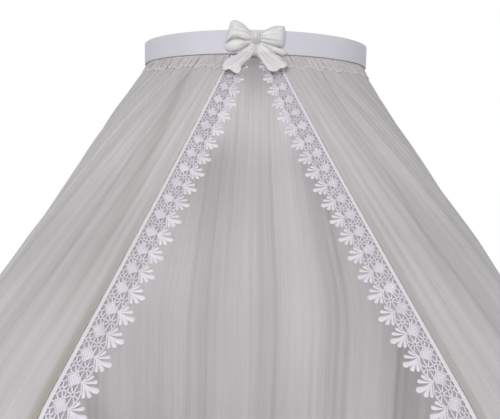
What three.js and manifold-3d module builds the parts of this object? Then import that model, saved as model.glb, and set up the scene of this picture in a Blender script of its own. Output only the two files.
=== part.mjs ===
// Bed crown canopy: a half-oval crown for the wall, with a cast bow and a tulle canopy edged with lace.
// Millimetres, +Z up. The wall is the plane y = 0 and the front looks towards -Y.
// The origin is the middle of the back rail's wall face.
import * as THREE from 'three';
import { mergeVertices } from 'three/addons/utils/BufferGeometryUtils.js';
import Module from 'manifold-3d';

const wasm = await Module();
wasm.setup();

// Crown
const crownHalfWidth = 300;
const crownDepth = 208;
const bandHeight = 54;
const bandThickness = 5;
const bandEdgeRound = 0.8;
const boardThickness = 12;
const boardRecess = 1.4;
const railThickness = 18;
const seat = 0.3;
const railHeight = bandHeight - boardThickness - boardRecess - seat;
const bandBottom = -railHeight / 2;
const boardBottom = railHeight / 2 + seat;

// Corner blocks between board and band
const blockLength = 34;
const blockThickness = 14;
const blockHeight = 13;
const blockAngleShares = [0.14, 0.34, 0.66, 0.86];

// Hook-and-loop fastening
const hookTapeThickness = 1.2;
const loopTapeThickness = 1.5;
const tapeHeight = 20;
const tapeLift = 3;
const tapeBottom = bandBottom + tapeLift;
const tapeCentreGap = 5;

// Hanger plates and screws
const hangerSpacing = 360;
const plateWidth = 20;
const plateHeight = 30;
const plateThickness = 1.6;
const plateRecess = 0.4;
const keyholeHeadRadius = 4.6;
const keyholeNeckRadius = 2.4;
const keyholeRise = 9;
const keyholeDrop = 4;
const headRoomDepth = 8;
const headRoomMargin = 1;
const plateScrewInset = 4;
const screwRadius = 1.5;
const screwHeadRadius = 3;
const screwHeadDepth = 1.5;
const plateScrewLength = 13;
const railScrewLength = 34;
const railScrewSpacing = 150;
const railScrewCount = 4;
const bowScrewLength = 13;
const bowScrewSpacing = 30;
const bowScrewHeight = 12;
const screwClearance = 0.3;
const cutOverrun = 1;

// Bow casting
const bowReach = 74;
const bowLoopRise = 25;
const bowFoldRise = 17;
const bowKnotRise = 29;
const bowTailThickness = 10;
const bowTailStart = 4;
const bowTailLeanShare = 1.06;
const bowBackMargin = 14;

// Tulle panels
const clothThickness = 2.4;
const headingHeight = 26;
const tapeSetback = bandThickness + hookTapeThickness + loopTapeThickness + 3 * seat;
const clothInset = tapeSetback + seat + clothThickness / 2;
const flareDrop = 580;
const flareHalfWidth = 574;
const flareDepth = 714;
const depthCurlShare = 0.2;
const roundingDrop = 160;
const boxDrop = 400;
const ovalPower = 2;
const boxPower = 4.6;
const leftOpeningHalfTop = 53.5;
const leftOpeningHalfFlare = 284;
const rightOpeningHalfTop = 42;
const rightOpeningHalfFlare = 313.5;
const railClearance = 6;
const wallGapTop = railThickness + railClearance;
const wallGapLow = 6;
const wallGapDrop = 240;
const foldHeadDepth = 0.2;
const foldFlareDepth = 8;
const foldHemDepth = 20;
const foldCount = 7;
const foldMainShare = 0.72;
const foldMinorShare = 0.28;
const foldMinorRate = 0.57;
const leftFoldPhase = 1.1;
const rightFoldPhase = 2.9;

// Back panel
const backHalfTop = 276;
const backSideClearance = 26;
const backGapTop = railThickness + hookTapeThickness + loopTapeThickness + 4 * seat + clothThickness / 2;
const backGapLow = 34;
const backFoldDepth = 15;
const backFoldCount = 6;

// Heading frill
const frillThickness = 1.2;
const frillHeight = 36;
const frillStandoffTop = clothThickness / 2 + frillThickness / 2 + 3 * seat;
const frillStandoffLow = 10;
const frillWaveDepth = 2;
const frillEdgeWave = 5;
const frillWaveCount = 12;
const frillEdgeRate = 0.73;
const frillEdgePhase = 0.4;

// Lace trim and binding
const laceRepeatLength = 40.25;
const laceRepeatCount = 39;
const leftLaceLeadLength = 5.5;
const rightLaceLeadLength = 19;
const laceTab = tapeLift - 2 * seat;
const laceThickness = 1.4;
const bindingWidth = 5;
const bindingThickness = 2.8;
const laceTopWidthShare = 0.7;
const laceFullWidthDrop = 170;
const clothLength = rightLaceLeadLength + laceRepeatCount * laceRepeatLength;
const wallClothLength = 1430;

// Counts of segments
const ovalSegmentCount = 42;
const screwSegmentCount = 8;
const outlineStepCount = 160;
const hangStepCount = 120;
const panelColumnCount = 36;
const backColumnCount = 30;
const frillColumnCount = 44;
const keyholeSegmentCount = 8;
const tailPointCount = 26;
const foldPointCount = 18;
const loopPointCount = 20;
const knotPointCount = 14;
const leadSpanCount = 2;

function makeMaterial(color, roughness, metalness) {
  return new THREE.MeshStandardMaterial({ color, roughness, metalness });
}

const whitePaint = makeMaterial(0xd2d0d8, 0.45, 0);
const boardMaterial = makeMaterial(0xcbb999, 0.8, 0);
const railMaterial = makeMaterial(0xc9aa78, 0.7, 0);
const resinMaterial = makeMaterial(0xd6d5d8, 0.6, 0);
const tulleMaterial = makeMaterial(0xbdb9ba, 0.9, 0);
const laceMaterial = makeMaterial(0xe0dde6, 0.85, 0);
const ribbonMaterial = makeMaterial(0xd8d4dc, 0.6, 0);
const tapeMaterial = makeMaterial(0xe6e5e2, 0.9, 0);
const steelMaterial = makeMaterial(0xb9bcc0, 0.35, 1);

const canopy = new THREE.Group();

function place(name, geometry, material) {
  const mesh = new THREE.Mesh(geometry, material);
  mesh.name = name;
  canopy.add(mesh);
}

// Solids and booleans
function bareGeometry(geometry) {
  const bare = geometry.index ? geometry.toNonIndexed() : geometry.clone();
  bare.deleteAttribute('normal');
  bare.deleteAttribute('uv');
  return mergeVertices(bare);
}

function toManifold(geometry) {
  const bare = bareGeometry(geometry);
  return new wasm.Manifold(new wasm.Mesh({
    numProp: 3,
    vertProperties: new Float32Array(bare.attributes.position.array),
    triVerts: new Uint32Array(bare.index.array),
  }));
}

function fromManifold(solid) {
  const mesh = solid.getMesh();
  const geometry = new THREE.BufferGeometry();
  geometry.setAttribute('position', new THREE.BufferAttribute(mesh.vertProperties, 3));
  geometry.setIndex(new THREE.BufferAttribute(mesh.triVerts, 1));
  return geometry;
}

function cutAway(geometry, cutters) {
  let solid = toManifold(geometry);
  for (const cutter of cutters) {
    solid = solid.subtract(toManifold(cutter));
  }
  return fromManifold(solid);
}

function signedVolume(points, triangles) {
  const a = new THREE.Vector3();
  let volume = 0;
  for (const [i, j, k] of triangles) {
    volume += a.copy(points[i]).dot(points[j].clone().cross(points[k]));
  }
  return volume;
}

function closedGeometry(points, triangles) {
  const faces = signedVolume(points, triangles) < 0
    ? triangles.map(([i, j, k]) => [i, k, j])
    : triangles;
  const geometry = new THREE.BufferGeometry().setFromPoints(points);
  geometry.setIndex(faces.flat());
  return geometry;
}

function quad(triangles, a, b, c, d) {
  triangles.push([a, b, c], [a, c, d]);
}

// Half oval that all of the crown's curved pieces follow, set in from the band's outer face
function halfOval(inset) {
  const points = [];
  for (let k = 0; k <= ovalSegmentCount; k += 1) {
    const angle = (Math.PI * k) / ovalSegmentCount;
    points.push(new THREE.Vector2(
      -(crownHalfWidth - inset) * Math.cos(angle),
      -(crownDepth - inset) * Math.sin(angle),
    ));
  }
  return points;
}

function clipOval(points, fromWall) {
  // Moves the two ends forward along the oval to the line y = -fromWall.
  const kept = points.filter((point) => point.y < -fromWall);
  const first = points[points.indexOf(kept[0]) - 1];
  const share = (-fromWall - first.y) / (kept[0].y - first.y);
  const start = first.clone().lerp(kept[0], share);
  const end = new THREE.Vector2(-start.x, start.y);
  return [start, ...kept, end];
}

function upright(shape, bottom, top) {
  return new THREE.ExtrudeGeometry(shape, { depth: top - bottom, bevelEnabled: false })
    .translate(0, 0, bottom);
}

function ovalStrip(inset, thickness, fromWall, bottom, top, halfGap = 0) {
  // A strip that follows the inside of the band. halfGap leaves out the middle of the front.
  const outer = fromWall > 0 ? clipOval(halfOval(inset), fromWall) : halfOval(inset);
  const inner = fromWall > 0 ? clipOval(halfOval(inset + thickness), fromWall) : halfOval(inset + thickness);
  const side = (points) => {
    if (halfGap === 0) {
      return points;
    }
    const kept = points.filter((point) => point.x < -halfGap);
    const next = points[kept.length];
    const last = kept[kept.length - 1];
    const share = (-halfGap - last.x) / (next.x - last.x);
    return [...kept, last.clone().lerp(next, share)];
  };
  return upright(new THREE.Shape([...side(outer), ...side(inner).reverse()]), bottom, top);
}

function mirrored(geometry) {
  const copy = geometry.index ? geometry.toNonIndexed() : geometry.clone();
  copy.scale(-1, 1, 1);
  const array = copy.attributes.position.array;
  for (let k = 0; k < array.length; k += 9) {
    for (let c = 0; c < 3; c += 1) {
      const kept = array[k + 3 + c];
      array[k + 3 + c] = array[k + 6 + c];
      array[k + 6 + c] = kept;
    }
  }
  return bareGeometry(copy);
}

// Screws: a cone head and a plain shank along -Y, with the head's face at y = 0
function screwProfile(length, clearance) {
  const shank = screwRadius + clearance;
  const head = screwHeadRadius + clearance;
  return [
    new THREE.Vector2(0, clearance),
    new THREE.Vector2(head, clearance),
    new THREE.Vector2(shank, -screwHeadDepth),
    new THREE.Vector2(shank, -length - clearance),
    new THREE.Vector2(0, -length - clearance),
  ];
}

function screw(length, clearance = 0) {
  return new THREE.LatheGeometry(screwProfile(length, clearance).reverse(), screwSegmentCount);
}

// The back rail's screws, seen from its wall face
const hangerSides = [-1, 1];
const plateScrewRise = plateHeight / 2 - plateScrewInset;
const plateScrewPlaces = hangerSides.flatMap((side) => [-1, 1].map((end) => (
  new THREE.Vector3((side * hangerSpacing) / 2, -plateRecess, end * plateScrewRise)
)));
const railScrewPlaces = [];
for (let k = 0; k < railScrewCount; k += 1) {
  const along = (k - (railScrewCount - 1) / 2) * railScrewSpacing;
  railScrewPlaces.push(new THREE.Vector3(along, -railThickness / 2, boardBottom + boardThickness));
}
const bowScrewPlaces = hangerSides.map((side) => {
  const x = (side * bowScrewSpacing) / 2;
  const ovalShare = Math.sqrt(1 - (x / crownHalfWidth) ** 2);
  return new THREE.Vector3(x, -(crownDepth - bandThickness) * ovalShare + screwClearance, bowScrewHeight);
});

function placedScrews(places, length, orient, clearance = 0) {
  return places.map((point) => orient(screw(length, clearance)).translate(point.x, point.y, point.z));
}

const asIs = (geometry) => geometry;
const turnedDown = (geometry) => geometry.rotateX(Math.PI / 2);

// Crown band, board, rail and corner blocks
const bandShape = new THREE.Shape([...halfOval(0), ...halfOval(bandThickness).reverse()]);
const bandBlank = new THREE.ExtrudeGeometry(bandShape, {
  depth: bandHeight - 2 * bandEdgeRound,
  bevelEnabled: true,
  bevelThickness: bandEdgeRound,
  bevelSize: bandEdgeRound,
  bevelOffset: -bandEdgeRound,
  bevelSegments: 1,
}).translate(0, 0, bandBottom + bandEdgeRound);
const bowScrewHoles = placedScrews(bowScrewPlaces, bowScrewLength, asIs, screwClearance);
const railScrewHoles = placedScrews(railScrewPlaces, railScrewLength, turnedDown, screwClearance);
const plateScrewHoles = placedScrews(plateScrewPlaces, plateScrewLength, asIs, screwClearance);
place('crown_fascia', cutAway(bandBlank, bowScrewHoles), whitePaint);

const boardInset = bandThickness + seat;
const boardShape = new THREE.Shape(halfOval(boardInset));
const boardBlank = upright(boardShape, boardBottom, boardBottom + boardThickness);
place('crown_board', cutAway(boardBlank, railScrewHoles), boardMaterial);

function ovalHalfWidthAt(inset, fromWall) {
  const share = Math.sqrt(1 - (fromWall / (crownDepth - inset)) ** 2);
  return (crownHalfWidth - inset) * share;
}

const railHalfLength = ovalHalfWidthAt(boardInset, railThickness) - seat;
const railBlank = new THREE.BoxGeometry(2 * railHalfLength, railThickness, railHeight)
  .translate(0, -railThickness / 2, 0);

function hangerPocket(side) {
  const depth = plateRecess + plateThickness + seat;
  return new THREE.BoxGeometry(plateWidth + 2 * seat, depth + cutOverrun, plateHeight + 2 * seat)
    .translate((side * hangerSpacing) / 2, (cutOverrun - depth) / 2, 0);
}

function headRoom(side) {
  const width = 2 * (keyholeHeadRadius + headRoomMargin);
  const bottom = -keyholeDrop - keyholeHeadRadius;
  const top = keyholeRise - keyholeDrop + keyholeNeckRadius + headRoomMargin;
  return new THREE.BoxGeometry(width, headRoomDepth + cutOverrun, top - bottom)
    .translate((side * hangerSpacing) / 2, (cutOverrun - headRoomDepth) / 2, (top + bottom) / 2);
}

place('back_rail', cutAway(railBlank, [
  ...hangerSides.map(hangerPocket),
  ...hangerSides.map(headRoom),
  ...plateScrewHoles,
  ...railScrewHoles,
]), railMaterial);

blockAngleShares.forEach((share, index) => {
  const angle = Math.PI * share;
  const halfWidth = crownHalfWidth - boardInset;
  const depth = crownDepth - boardInset;
  const x = -halfWidth * Math.cos(angle);
  const y = -depth * Math.sin(angle);
  const outward = new THREE.Vector2(x / halfWidth ** 2, y / depth ** 2).normalize();
  // The block's flat face stands off the curved band by the bow of the oval along its length.
  const curveRadius = depth ** 2 / crownHalfWidth;
  const standoff = seat + (blockLength / 2) ** 2 / (2 * curveRadius);
  const reach = blockThickness / 2 + standoff;
  const block = new THREE.BoxGeometry(blockLength, blockThickness, blockHeight)
    .rotateZ(Math.atan2(outward.y, outward.x) + Math.PI / 2)
    .translate(x - outward.x * reach, y - outward.y * reach, boardBottom - seat - blockHeight / 2);
  place(`glue_block_${index + 1}`, block, railMaterial);
});

// Keyhole hanger plates and the screws
function keyholePlate(side) {
  const outline = new THREE.Shape();
  outline.moveTo(-plateWidth / 2, -plateHeight / 2);
  outline.lineTo(plateWidth / 2, -plateHeight / 2);
  outline.lineTo(plateWidth / 2, plateHeight / 2);
  outline.lineTo(-plateWidth / 2, plateHeight / 2);
  outline.closePath();
  const neckAngle = Math.acos(keyholeNeckRadius / keyholeHeadRadius);
  const keyhole = new THREE.Path();
  keyhole.absarc(0, -keyholeDrop, keyholeHeadRadius, Math.PI - neckAngle, neckAngle, false);
  keyhole.absarc(0, keyholeRise - keyholeDrop, keyholeNeckRadius, 0, Math.PI, false);
  keyhole.closePath();
  outline.holes.push(keyhole);
  const plate = new THREE.ExtrudeGeometry(outline, {
    depth: plateThickness,
    bevelEnabled: false,
    curveSegments: keyholeSegmentCount,
  })
    .rotateX(Math.PI / 2)
    .translate((side * hangerSpacing) / 2, -plateRecess, 0);
  return cutAway(plate, plateScrewHoles);
}

place('keyhole_plate_left', keyholePlate(-1), steelMaterial);
place('keyhole_plate_right', keyholePlate(1), steelMaterial);

function placeScrews(name, screws) {
  screws.forEach((geometry, index) => place(`${name}_${index + 1}`, geometry, steelMaterial));
}

placeScrews('plate_screw', placedScrews(plateScrewPlaces, plateScrewLength, asIs));
placeScrews('rail_screw', placedScrews(railScrewPlaces, railScrewLength, turnedDown));
placeScrews('bow_screw', placedScrews(bowScrewPlaces, bowScrewLength, asIs));

// Hook-and-loop tapes
const frontTapeWall = railThickness + 3 * seat;
const tapeTop = tapeBottom + tapeHeight;
place('hook_tape_front',
  ovalStrip(bandThickness + seat, hookTapeThickness, frontTapeWall, tapeBottom, tapeTop),
  tapeMaterial);
const loopInset = bandThickness + hookTapeThickness + 2 * seat;
const headingTape = ovalStrip(loopInset, loopTapeThickness, frontTapeWall, tapeBottom, tapeTop,
  tapeCentreGap / 2);
place('heading_tape_left', headingTape, tapeMaterial);
place('heading_tape_right', mirrored(headingTape), tapeMaterial);

function railTape(thickness, behind) {
  return new THREE.BoxGeometry(2 * backHalfTop, thickness, tapeHeight)
    .translate(0, -railThickness - behind - thickness / 2, tapeBottom + tapeHeight / 2);
}

place('hook_tape_back', railTape(hookTapeThickness, seat), tapeMaterial);
place('heading_tape_back', railTape(loopTapeThickness, hookTapeThickness + 2 * seat), tapeMaterial);

// Bow casting. Outlines are shares of bowReach in x and z, seen from the front.
const leftLoopShares = [[-0.1, 0.3], [-0.33, 0.57], [-0.5, 0.68], [-0.68, 0.745], [-0.79, 0.7],
  [-0.85, 0.57], [-0.9, 0.38], [-0.95, 0.16], [-0.99, 0.02], [-0.88, 0.09], [-0.72, 0.14], [-0.5, 0.12],
  [-0.3, 0.05], [-0.1, 0.08]];
const leftFoldShares = [[-0.08, 0.1], [-0.3, 0.13], [-0.52, 0.2], [-0.72, 0.2], [-0.9, 0.12], [-1, -0.04],
  [-0.97, -0.14], [-0.87, -0.21], [-0.7, -0.235], [-0.52, -0.18], [-0.36, -0.08], [-0.2, 0], [-0.08, 0.04]];
const rightLoopShares = [[0.1, 0.34], [0.29, 0.45], [0.46, 0.545], [0.64, 0.585], [0.86, 0.59], [0.91, 0.53],
  [0.92, 0.34], [0.9, 0.14], [0.87, -0.03], [0.69, -0.07], [0.43, -0.06], [0.24, 0], [0.1, 0.08]];
const rightFoldShares = [[0.1, 0.06], [0.3, 0], [0.55, -0.03], [0.78, -0.1], [0.98, -0.2], [0.98, -0.27],
  [0.86, -0.33], [0.74, -0.31], [0.57, -0.245], [0.4, -0.15], [0.22, -0.05], [0.08, 0.02]];
const leftTailShares = [[0, 0.1], [-0.02, -0.17], [-0.09, -0.31], [-0.19, -0.47], [-0.33, -0.62],
  [-0.42, -0.76], [-0.45, -0.94], [-0.53, -1.02], [-0.64, -0.99], [-0.73, -0.92], [-0.82, -0.865],
  [-0.9, -0.9], [-1, -0.87], [-1, -0.7], [-0.95, -0.55], [-0.8, -0.42], [-0.6, -0.32],
  [-0.42, -0.17], [-0.25, -0.05], [-0.12, 0.06]];
const rightTailShares = [[0, 0.1], [0.03, -0.24], [0.13, -0.47], [0.26, -0.69], [0.39, -0.88], [0.53, -0.93],
  [0.67, -0.9], [0.76, -0.81], [0.88, -0.79], [0.99, -0.68], [0.97, -0.61], [0.84, -0.51], [0.76, -0.35],
  [0.6, -0.28], [0.43, -0.16], [0.26, -0.03], [0.12, 0.06]];
const knotShares = [[-0.15, 0.36], [0, 0.395], [0.13, 0.36], [0.145, 0.2], [0.13, 0.06], [0, 0.03],
  [-0.15, 0.06], [-0.16, 0.2]];
const ringShares = [[1, 0.42], [0.82, 0.84], [0.46, 1]];
const bowBack = -(crownDepth - bowBackMargin);

function castPad(shares, rise, pointCount, place3) {
  // A pad with a flat back, an upright edge and a rounded front, on a smooth closed outline.
  const curve = new THREE.CatmullRomCurve3(shares.map(([x, z]) => new THREE.Vector3(x, z, 0)), true);
  const outline = curve.getPoints(pointCount).slice(0, -1);
  const centre = outline.reduce((sum, point) => sum.add(point), new THREE.Vector3())
    .divideScalar(outline.length);
  const points = outline.map((point) => place3(point.x, point.y, 0));
  for (const [size, height] of ringShares) {
    for (const point of outline) {
      const moved = centre.clone().lerp(point, size);
      points.push(place3(moved.x, moved.y, height * rise));
    }
  }
  const top = points.length;
  points.push(place3(centre.x, centre.y, rise));
  points.push(place3(centre.x, centre.y, 0));
  const triangles = [];
  for (let k = 0; k < pointCount; k += 1) {
    const next = (k + 1) % pointCount;
    for (let ring = 0; ring < ringShares.length; ring += 1) {
      const low = ring * pointCount;
      quad(triangles, low + k, low + next, low + pointCount + next, low + pointCount + k);
    }
    const last = ringShares.length * pointCount;
    triangles.push([last + k, last + next, top]);
    triangles.push([next, k, top + 1]);
  }
  return closedGeometry(points, triangles);
}

function onBand(x, z, rise) {
  const back = rise > 0 ? -crownDepth : bowBack;
  return new THREE.Vector3(x * bowReach, back - rise, z * bowReach);
}

function onTail(x, z, rise) {
  // Below the band's lower edge the tails lean forward over the gathered heading.
  const below = Math.max(0, bandBottom + bowTailStart - z * bowReach);
  const back = rise > 0 ? -crownDepth - below * bowTailLeanShare : Math.min(bowBack, -crownDepth
    - below * bowTailLeanShare + bowTailThickness / 2);
  return new THREE.Vector3(x * bowReach, back - rise, z * bowReach);
}

const bowPads = [
  castPad(leftTailShares, bowTailThickness, tailPointCount, onTail),
  castPad(rightTailShares, bowTailThickness, tailPointCount, onTail),
  castPad(leftFoldShares, bowFoldRise, foldPointCount, onBand),
  castPad(rightFoldShares, bowFoldRise, foldPointCount, onBand),
  castPad(leftLoopShares, bowLoopRise, loopPointCount, onBand),
  castPad(rightLoopShares, bowLoopRise, loopPointCount, onBand),
  castPad(knotShares, bowKnotRise, knotPointCount, onBand),
];
let bowSolid = toManifold(bowPads[0]);
for (const pad of bowPads.slice(1)) {
  bowSolid = bowSolid.add(toManifold(pad));
}
const bandFront = upright(new THREE.Shape(halfOval(-seat)), -2 * bowReach, 2 * bowReach);
place('bow_casting', cutAway(fromManifold(bowSolid), [
  bandFront,
  ...placedScrews(bowScrewPlaces, bowScrewLength, asIs, screwClearance),
]), resinMaterial);

// Shape of the hanging cloth, by the drop below the band's lower edge
function spread(start, end, curlShare, drop) {
  const share = Math.min(Math.max(drop, 0), flareDrop) / flareDrop;
  const grown = (end - start) * ((1 - curlShare) * share + curlShare * share ** 2);
  const past = Math.min(Math.max(drop - flareDrop, 0), roundingDrop);
  const slope = ((end - start) * (1 + curlShare)) / flareDrop;
  return start + grown + slope * (past - past ** 2 / (2 * roundingDrop));
}

function between(from, to, share) {
  return from + (to - from) * Math.min(Math.max(share, 0), 1);
}

const halfWidthAt = (drop) => spread(crownHalfWidth - clothInset, flareHalfWidth, 0, drop);
const depthAt = (drop) => spread(crownDepth - clothInset, flareDepth, depthCurlShare, drop);
const powerAt = (drop) => between(ovalPower, boxPower, drop / boxDrop);
const wallGapAt = (drop) => between(wallGapTop, wallGapLow, drop / wallGapDrop);
const dropToZ = (drop) => bandBottom - drop;

// The front pieces of each side are made on the left and turned over for the right.
const frontSides = [
  {
    name: 'left',
    turned: asIs,
    foldPhase: leftFoldPhase,
    leadLength: leftLaceLeadLength,
    openingAt: (drop) => spread(leftOpeningHalfTop, leftOpeningHalfFlare, 0, drop),
  },
  {
    name: 'right',
    turned: mirrored,
    foldPhase: rightFoldPhase,
    leadLength: rightLaceLeadLength,
    openingAt: (drop) => spread(rightOpeningHalfTop, rightOpeningHalfFlare, 0, drop),
  },
];

function sectionCurve(drop) {
  // The left half of the bell's cross-section, from the wall to the middle of the front.
  const halfWidth = halfWidthAt(drop);
  const depth = depthAt(drop);
  const power = powerAt(drop);
  const points = [];
  for (let k = 0; k <= outlineStepCount; k += 1) {
    const angle = (Math.PI / 2) * (k / outlineStepCount);
    const x = Math.cos(angle);
    const y = Math.sin(angle);
    const radius = ((x / halfWidth) ** power + (y / depth) ** power) ** (-1 / power);
    points.push(new THREE.Vector2(-radius * x, -radius * y));
  }
  return points;
}

function clippedSection(drop, wallGap, frontHalf) {
  const points = sectionCurve(drop);
  const cut = (a, b, share) => a.clone().lerp(b, share);
  const result = [];
  for (let k = 0; k < points.length - 1; k += 1) {
    const a = points[k];
    const b = points[k + 1];
    if (a.y > -wallGap && b.y <= -wallGap) {
      result.push(cut(a, b, (-wallGap - a.y) / (b.y - a.y)));
    }
    if (b.y < -wallGap && b.x < -frontHalf) {
      result.push(b);
    }
    if (a.x < -frontHalf && b.x >= -frontHalf) {
      result.push(cut(a, b, (-frontHalf - a.x) / (b.x - a.x)));
    }
  }
  return result;
}

function atShares(points, shares) {
  const runs = [0];
  for (let k = 1; k < points.length; k += 1) {
    runs.push(runs[k - 1] + points[k].distanceTo(points[k - 1]));
  }
  const total = runs[runs.length - 1];
  let k = 1;
  return shares.map((share) => {
    const target = share * total;
    while (k < runs.length - 1 && runs[k] < target) {
      k += 1;
    }
    return points[k - 1].clone().lerp(points[k], (target - runs[k - 1]) / (runs[k] - runs[k - 1]));
  });
}

function hang(rowAt, lengths, lengthShareAt = () => 1) {
  // Follows each column of rowAt down the cloth and gives its points at the wanted lengths.
  const levels = [];
  for (let k = 0; k <= hangStepCount; k += 1) {
    const drop = (clothLength * k) / hangStepCount;
    levels.push(rowAt(drop).map((point) => new THREE.Vector3(point.x, point.y, dropToZ(drop))));
  }
  const grid = lengths.map(() => []);
  const columnCount = levels[0].length;
  for (let column = 0; column < columnCount; column += 1) {
    const lengthShare = lengthShareAt(column / (columnCount - 1));
    let level = 1;
    let run = 0;
    let step = levels[1][column].distanceTo(levels[0][column]);
    lengths.forEach((fullLength, row) => {
      if (fullLength <= 0) {
        const head = levels[0][column].clone();
        grid[row].push(head.setZ(head.z - fullLength));
        return;
      }
      const length = fullLength * lengthShare;
      while (run + step < length && level < hangStepCount) {
        run += step;
        level += 1;
        step = levels[level][column].distanceTo(levels[level - 1][column]);
      }
      grid[row].push(levels[level - 1][column].clone().lerp(levels[level][column], (length - run) / step));
    });
  }
  return grid;
}

function rowSide(row, column) {
  // Unit vector along the row, in plan, and the outward normal to its left-hand side.
  const a = row[Math.max(column - 1, 0)];
  const b = row[Math.min(column + 1, row.length - 1)];
  const along = new THREE.Vector3(b.x - a.x, b.y - a.y, 0).normalize();
  return new THREE.Vector3(along.y, -along.x, 0);
}

function displaced(grid, distanceAt) {
  return grid.map((row, r) => row.map((point, c) => {
    const outward = rowSide(row, c);
    return point.clone().addScaledVector(outward, distanceAt(r, c));
  }));
}

function gridNormal(grid, r, c) {
  const rows = grid.length - 1;
  const columns = grid[0].length - 1;
  const down = grid[Math.min(r + 1, rows)][c].clone().sub(grid[Math.max(r - 1, 0)][c]);
  const along = grid[r][Math.min(c + 1, columns)].clone().sub(grid[r][Math.max(c - 1, 0)]);
  return along.cross(down).normalize();
}

function sheetSolid(grid, thickness) {
  // A closed sheet of even thickness on a grid of points.
  const rows = grid.length;
  const columns = grid[0].length;
  const points = [];
  for (const side of [1, -1]) {
    for (let r = 0; r < rows; r += 1) {
      for (let c = 0; c < columns; c += 1) {
        points.push(grid[r][c].clone().addScaledVector(gridNormal(grid, r, c), (side * thickness) / 2));
      }
    }
  }
  const at = (side, r, c) => side * rows * columns + r * columns + c;
  const triangles = [];
  for (let r = 0; r < rows - 1; r += 1) {
    for (let c = 0; c < columns - 1; c += 1) {
      quad(triangles, at(0, r, c), at(0, r, c + 1), at(0, r + 1, c + 1), at(0, r + 1, c));
      quad(triangles, at(1, r, c), at(1, r + 1, c), at(1, r + 1, c + 1), at(1, r, c + 1));
    }
    quad(triangles, at(0, r, 0), at(0, r + 1, 0), at(1, r + 1, 0), at(1, r, 0));
    quad(triangles, at(0, r + 1, columns - 1), at(0, r, columns - 1), at(1, r, columns - 1),
      at(1, r + 1, columns - 1));
  }
  for (let c = 0; c < columns - 1; c += 1) {
    quad(triangles, at(0, 0, c + 1), at(0, 0, c), at(1, 0, c), at(1, 0, c + 1));
    quad(triangles, at(0, rows - 1, c), at(0, rows - 1, c + 1), at(1, rows - 1, c + 1), at(1, rows - 1, c));
  }
  return closedGeometry(points, triangles);
}

function evenShares(count) {
  return Array.from({ length: count + 1 }, (_, k) => k / count);
}

// Rows of the cloth, in lace repeats from the lead, closer where the cloth rounds over
const rowRepeats = [0, 5, 10, 15, 20, 22, 24, 26, 28, 33, 39];
const lengthAtRepeat = (count) => rightLaceLeadLength + count * laceRepeatLength;
const clothRows = [0, ...rowRepeats.map(lengthAtRepeat)];
const panelRows = [-headingHeight, ...clothRows];
const edgeSetback = bindingWidth + 5 * seat;

// The front falls at about 45 degrees down to flareDrop.
const flareLength = flareDrop * Math.SQRT2;

function foldAt(share, length, phase) {
  // Soft folds that grow down the cloth and die out at both edges of a panel.
  const depth = length < flareLength
    ? between(foldHeadDepth, foldFlareDepth, length / flareLength)
    : between(foldFlareDepth, foldHemDepth, (length - flareLength) / (clothLength - flareLength));
  const edge = Math.sqrt(Math.sin(Math.PI * share));
  const turn = 2 * Math.PI * foldCount * share;
  const minor = foldMinorShare * Math.cos(foldMinorRate * turn + phase);
  return depth * edge * (foldMainShare * Math.cos(turn) + minor);
}

// The hem is cut level enough to hang near the floor: short at the wall and full length at the opening.
const hemShareAt = (share) => between(wallClothLength / clothLength, 1, share);
const frontRowAt = (openingAt, shares) => (drop) => (
  atShares(clippedSection(drop, wallGapAt(drop), openingAt(drop) + edgeSetback), shares)
);
const panelShares = evenShares(panelColumnCount);
for (const side of frontSides) {
  const plainPanel = hang(frontRowAt(side.openingAt, panelShares), panelRows, hemShareAt);
  const panelGrid = displaced(plainPanel, (r, c) => (
    foldAt(panelShares[c], Math.max(panelRows[r], 0), side.foldPhase)
  ));
  place(`tulle_${side.name}`, side.turned(sheetSolid(panelGrid, clothThickness)), tulleMaterial);
}

// Back panel, close to the wall
const backShares = evenShares(backColumnCount);
const backGapAt = (drop) => between(backGapTop, backGapLow, drop / wallGapDrop);
const backRowAt = (drop) => {
  const half = between(backHalfTop, halfWidthAt(wallGapDrop) - backSideClearance, drop / wallGapDrop);
  const reach = drop < wallGapDrop ? half : halfWidthAt(drop) - backSideClearance;
  return backShares.map((share) => new THREE.Vector2((2 * share - 1) * reach, -backGapAt(drop)));
};
const backRowRepeats = [0, 4, 12, 20, 24, 31, 39];
const backLengths = [0, ...backRowRepeats.map(lengthAtRepeat)];
const backRows = [-headingHeight, ...backLengths];
const plainBack = hang(backRowAt, backRows, () => wallClothLength / clothLength);
const backGrid = displaced(plainBack, (r, c) => {
  const length = Math.max(backRows[r], 0);
  const depth = between(foldHeadDepth, backFoldDepth, length / (clothLength / 2));
  return depth * Math.cos(2 * Math.PI * backFoldCount * backShares[c]);
});
place('tulle_back', sheetSolid(backGrid, clothThickness), tulleMaterial);

// Heading frill
const frillShares = evenShares(frillColumnCount);
const frillRowShares = [0, 0.25, 1];
const frillStart = -tapeLift + 3 * seat;
const frillRows = frillRowShares.map((share) => frillStart + share * frillHeight);
for (const side of frontSides) {
  const plainFrill = hang(frontRowAt(side.openingAt, frillShares), frillRows);
  const frillGrid = displaced(plainFrill, (r, c) => {
    const share = frillRowShares[r];
    const wave = share * frillWaveDepth * Math.cos(2 * Math.PI * frillWaveCount * frillShares[c]);
    return between(frillStandoffTop, frillStandoffLow, share) + wave;
  }).map((row, r) => row.map((point, c) => {
    const turn = 2 * Math.PI * frillWaveCount * frillShares[c];
    const rise = frillRowShares[r] ** 2 * frillEdgeWave * Math.sin(frillEdgeRate * turn + frillEdgePhase);
    return point.setZ(point.z + rise);
  }));
  place(`heading_frill_${side.name}`, side.turned(sheetSolid(frillGrid, frillThickness)), tulleMaterial);
}

// The seam line that the binding and the lace follow
const seamRowAt = (openingAt) => (drop) => [0, seat].map((shift) => {
  const end = clippedSection(drop, wallGapAt(drop), openingAt(drop) + shift);
  return end[end.length - 1];
});

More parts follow.
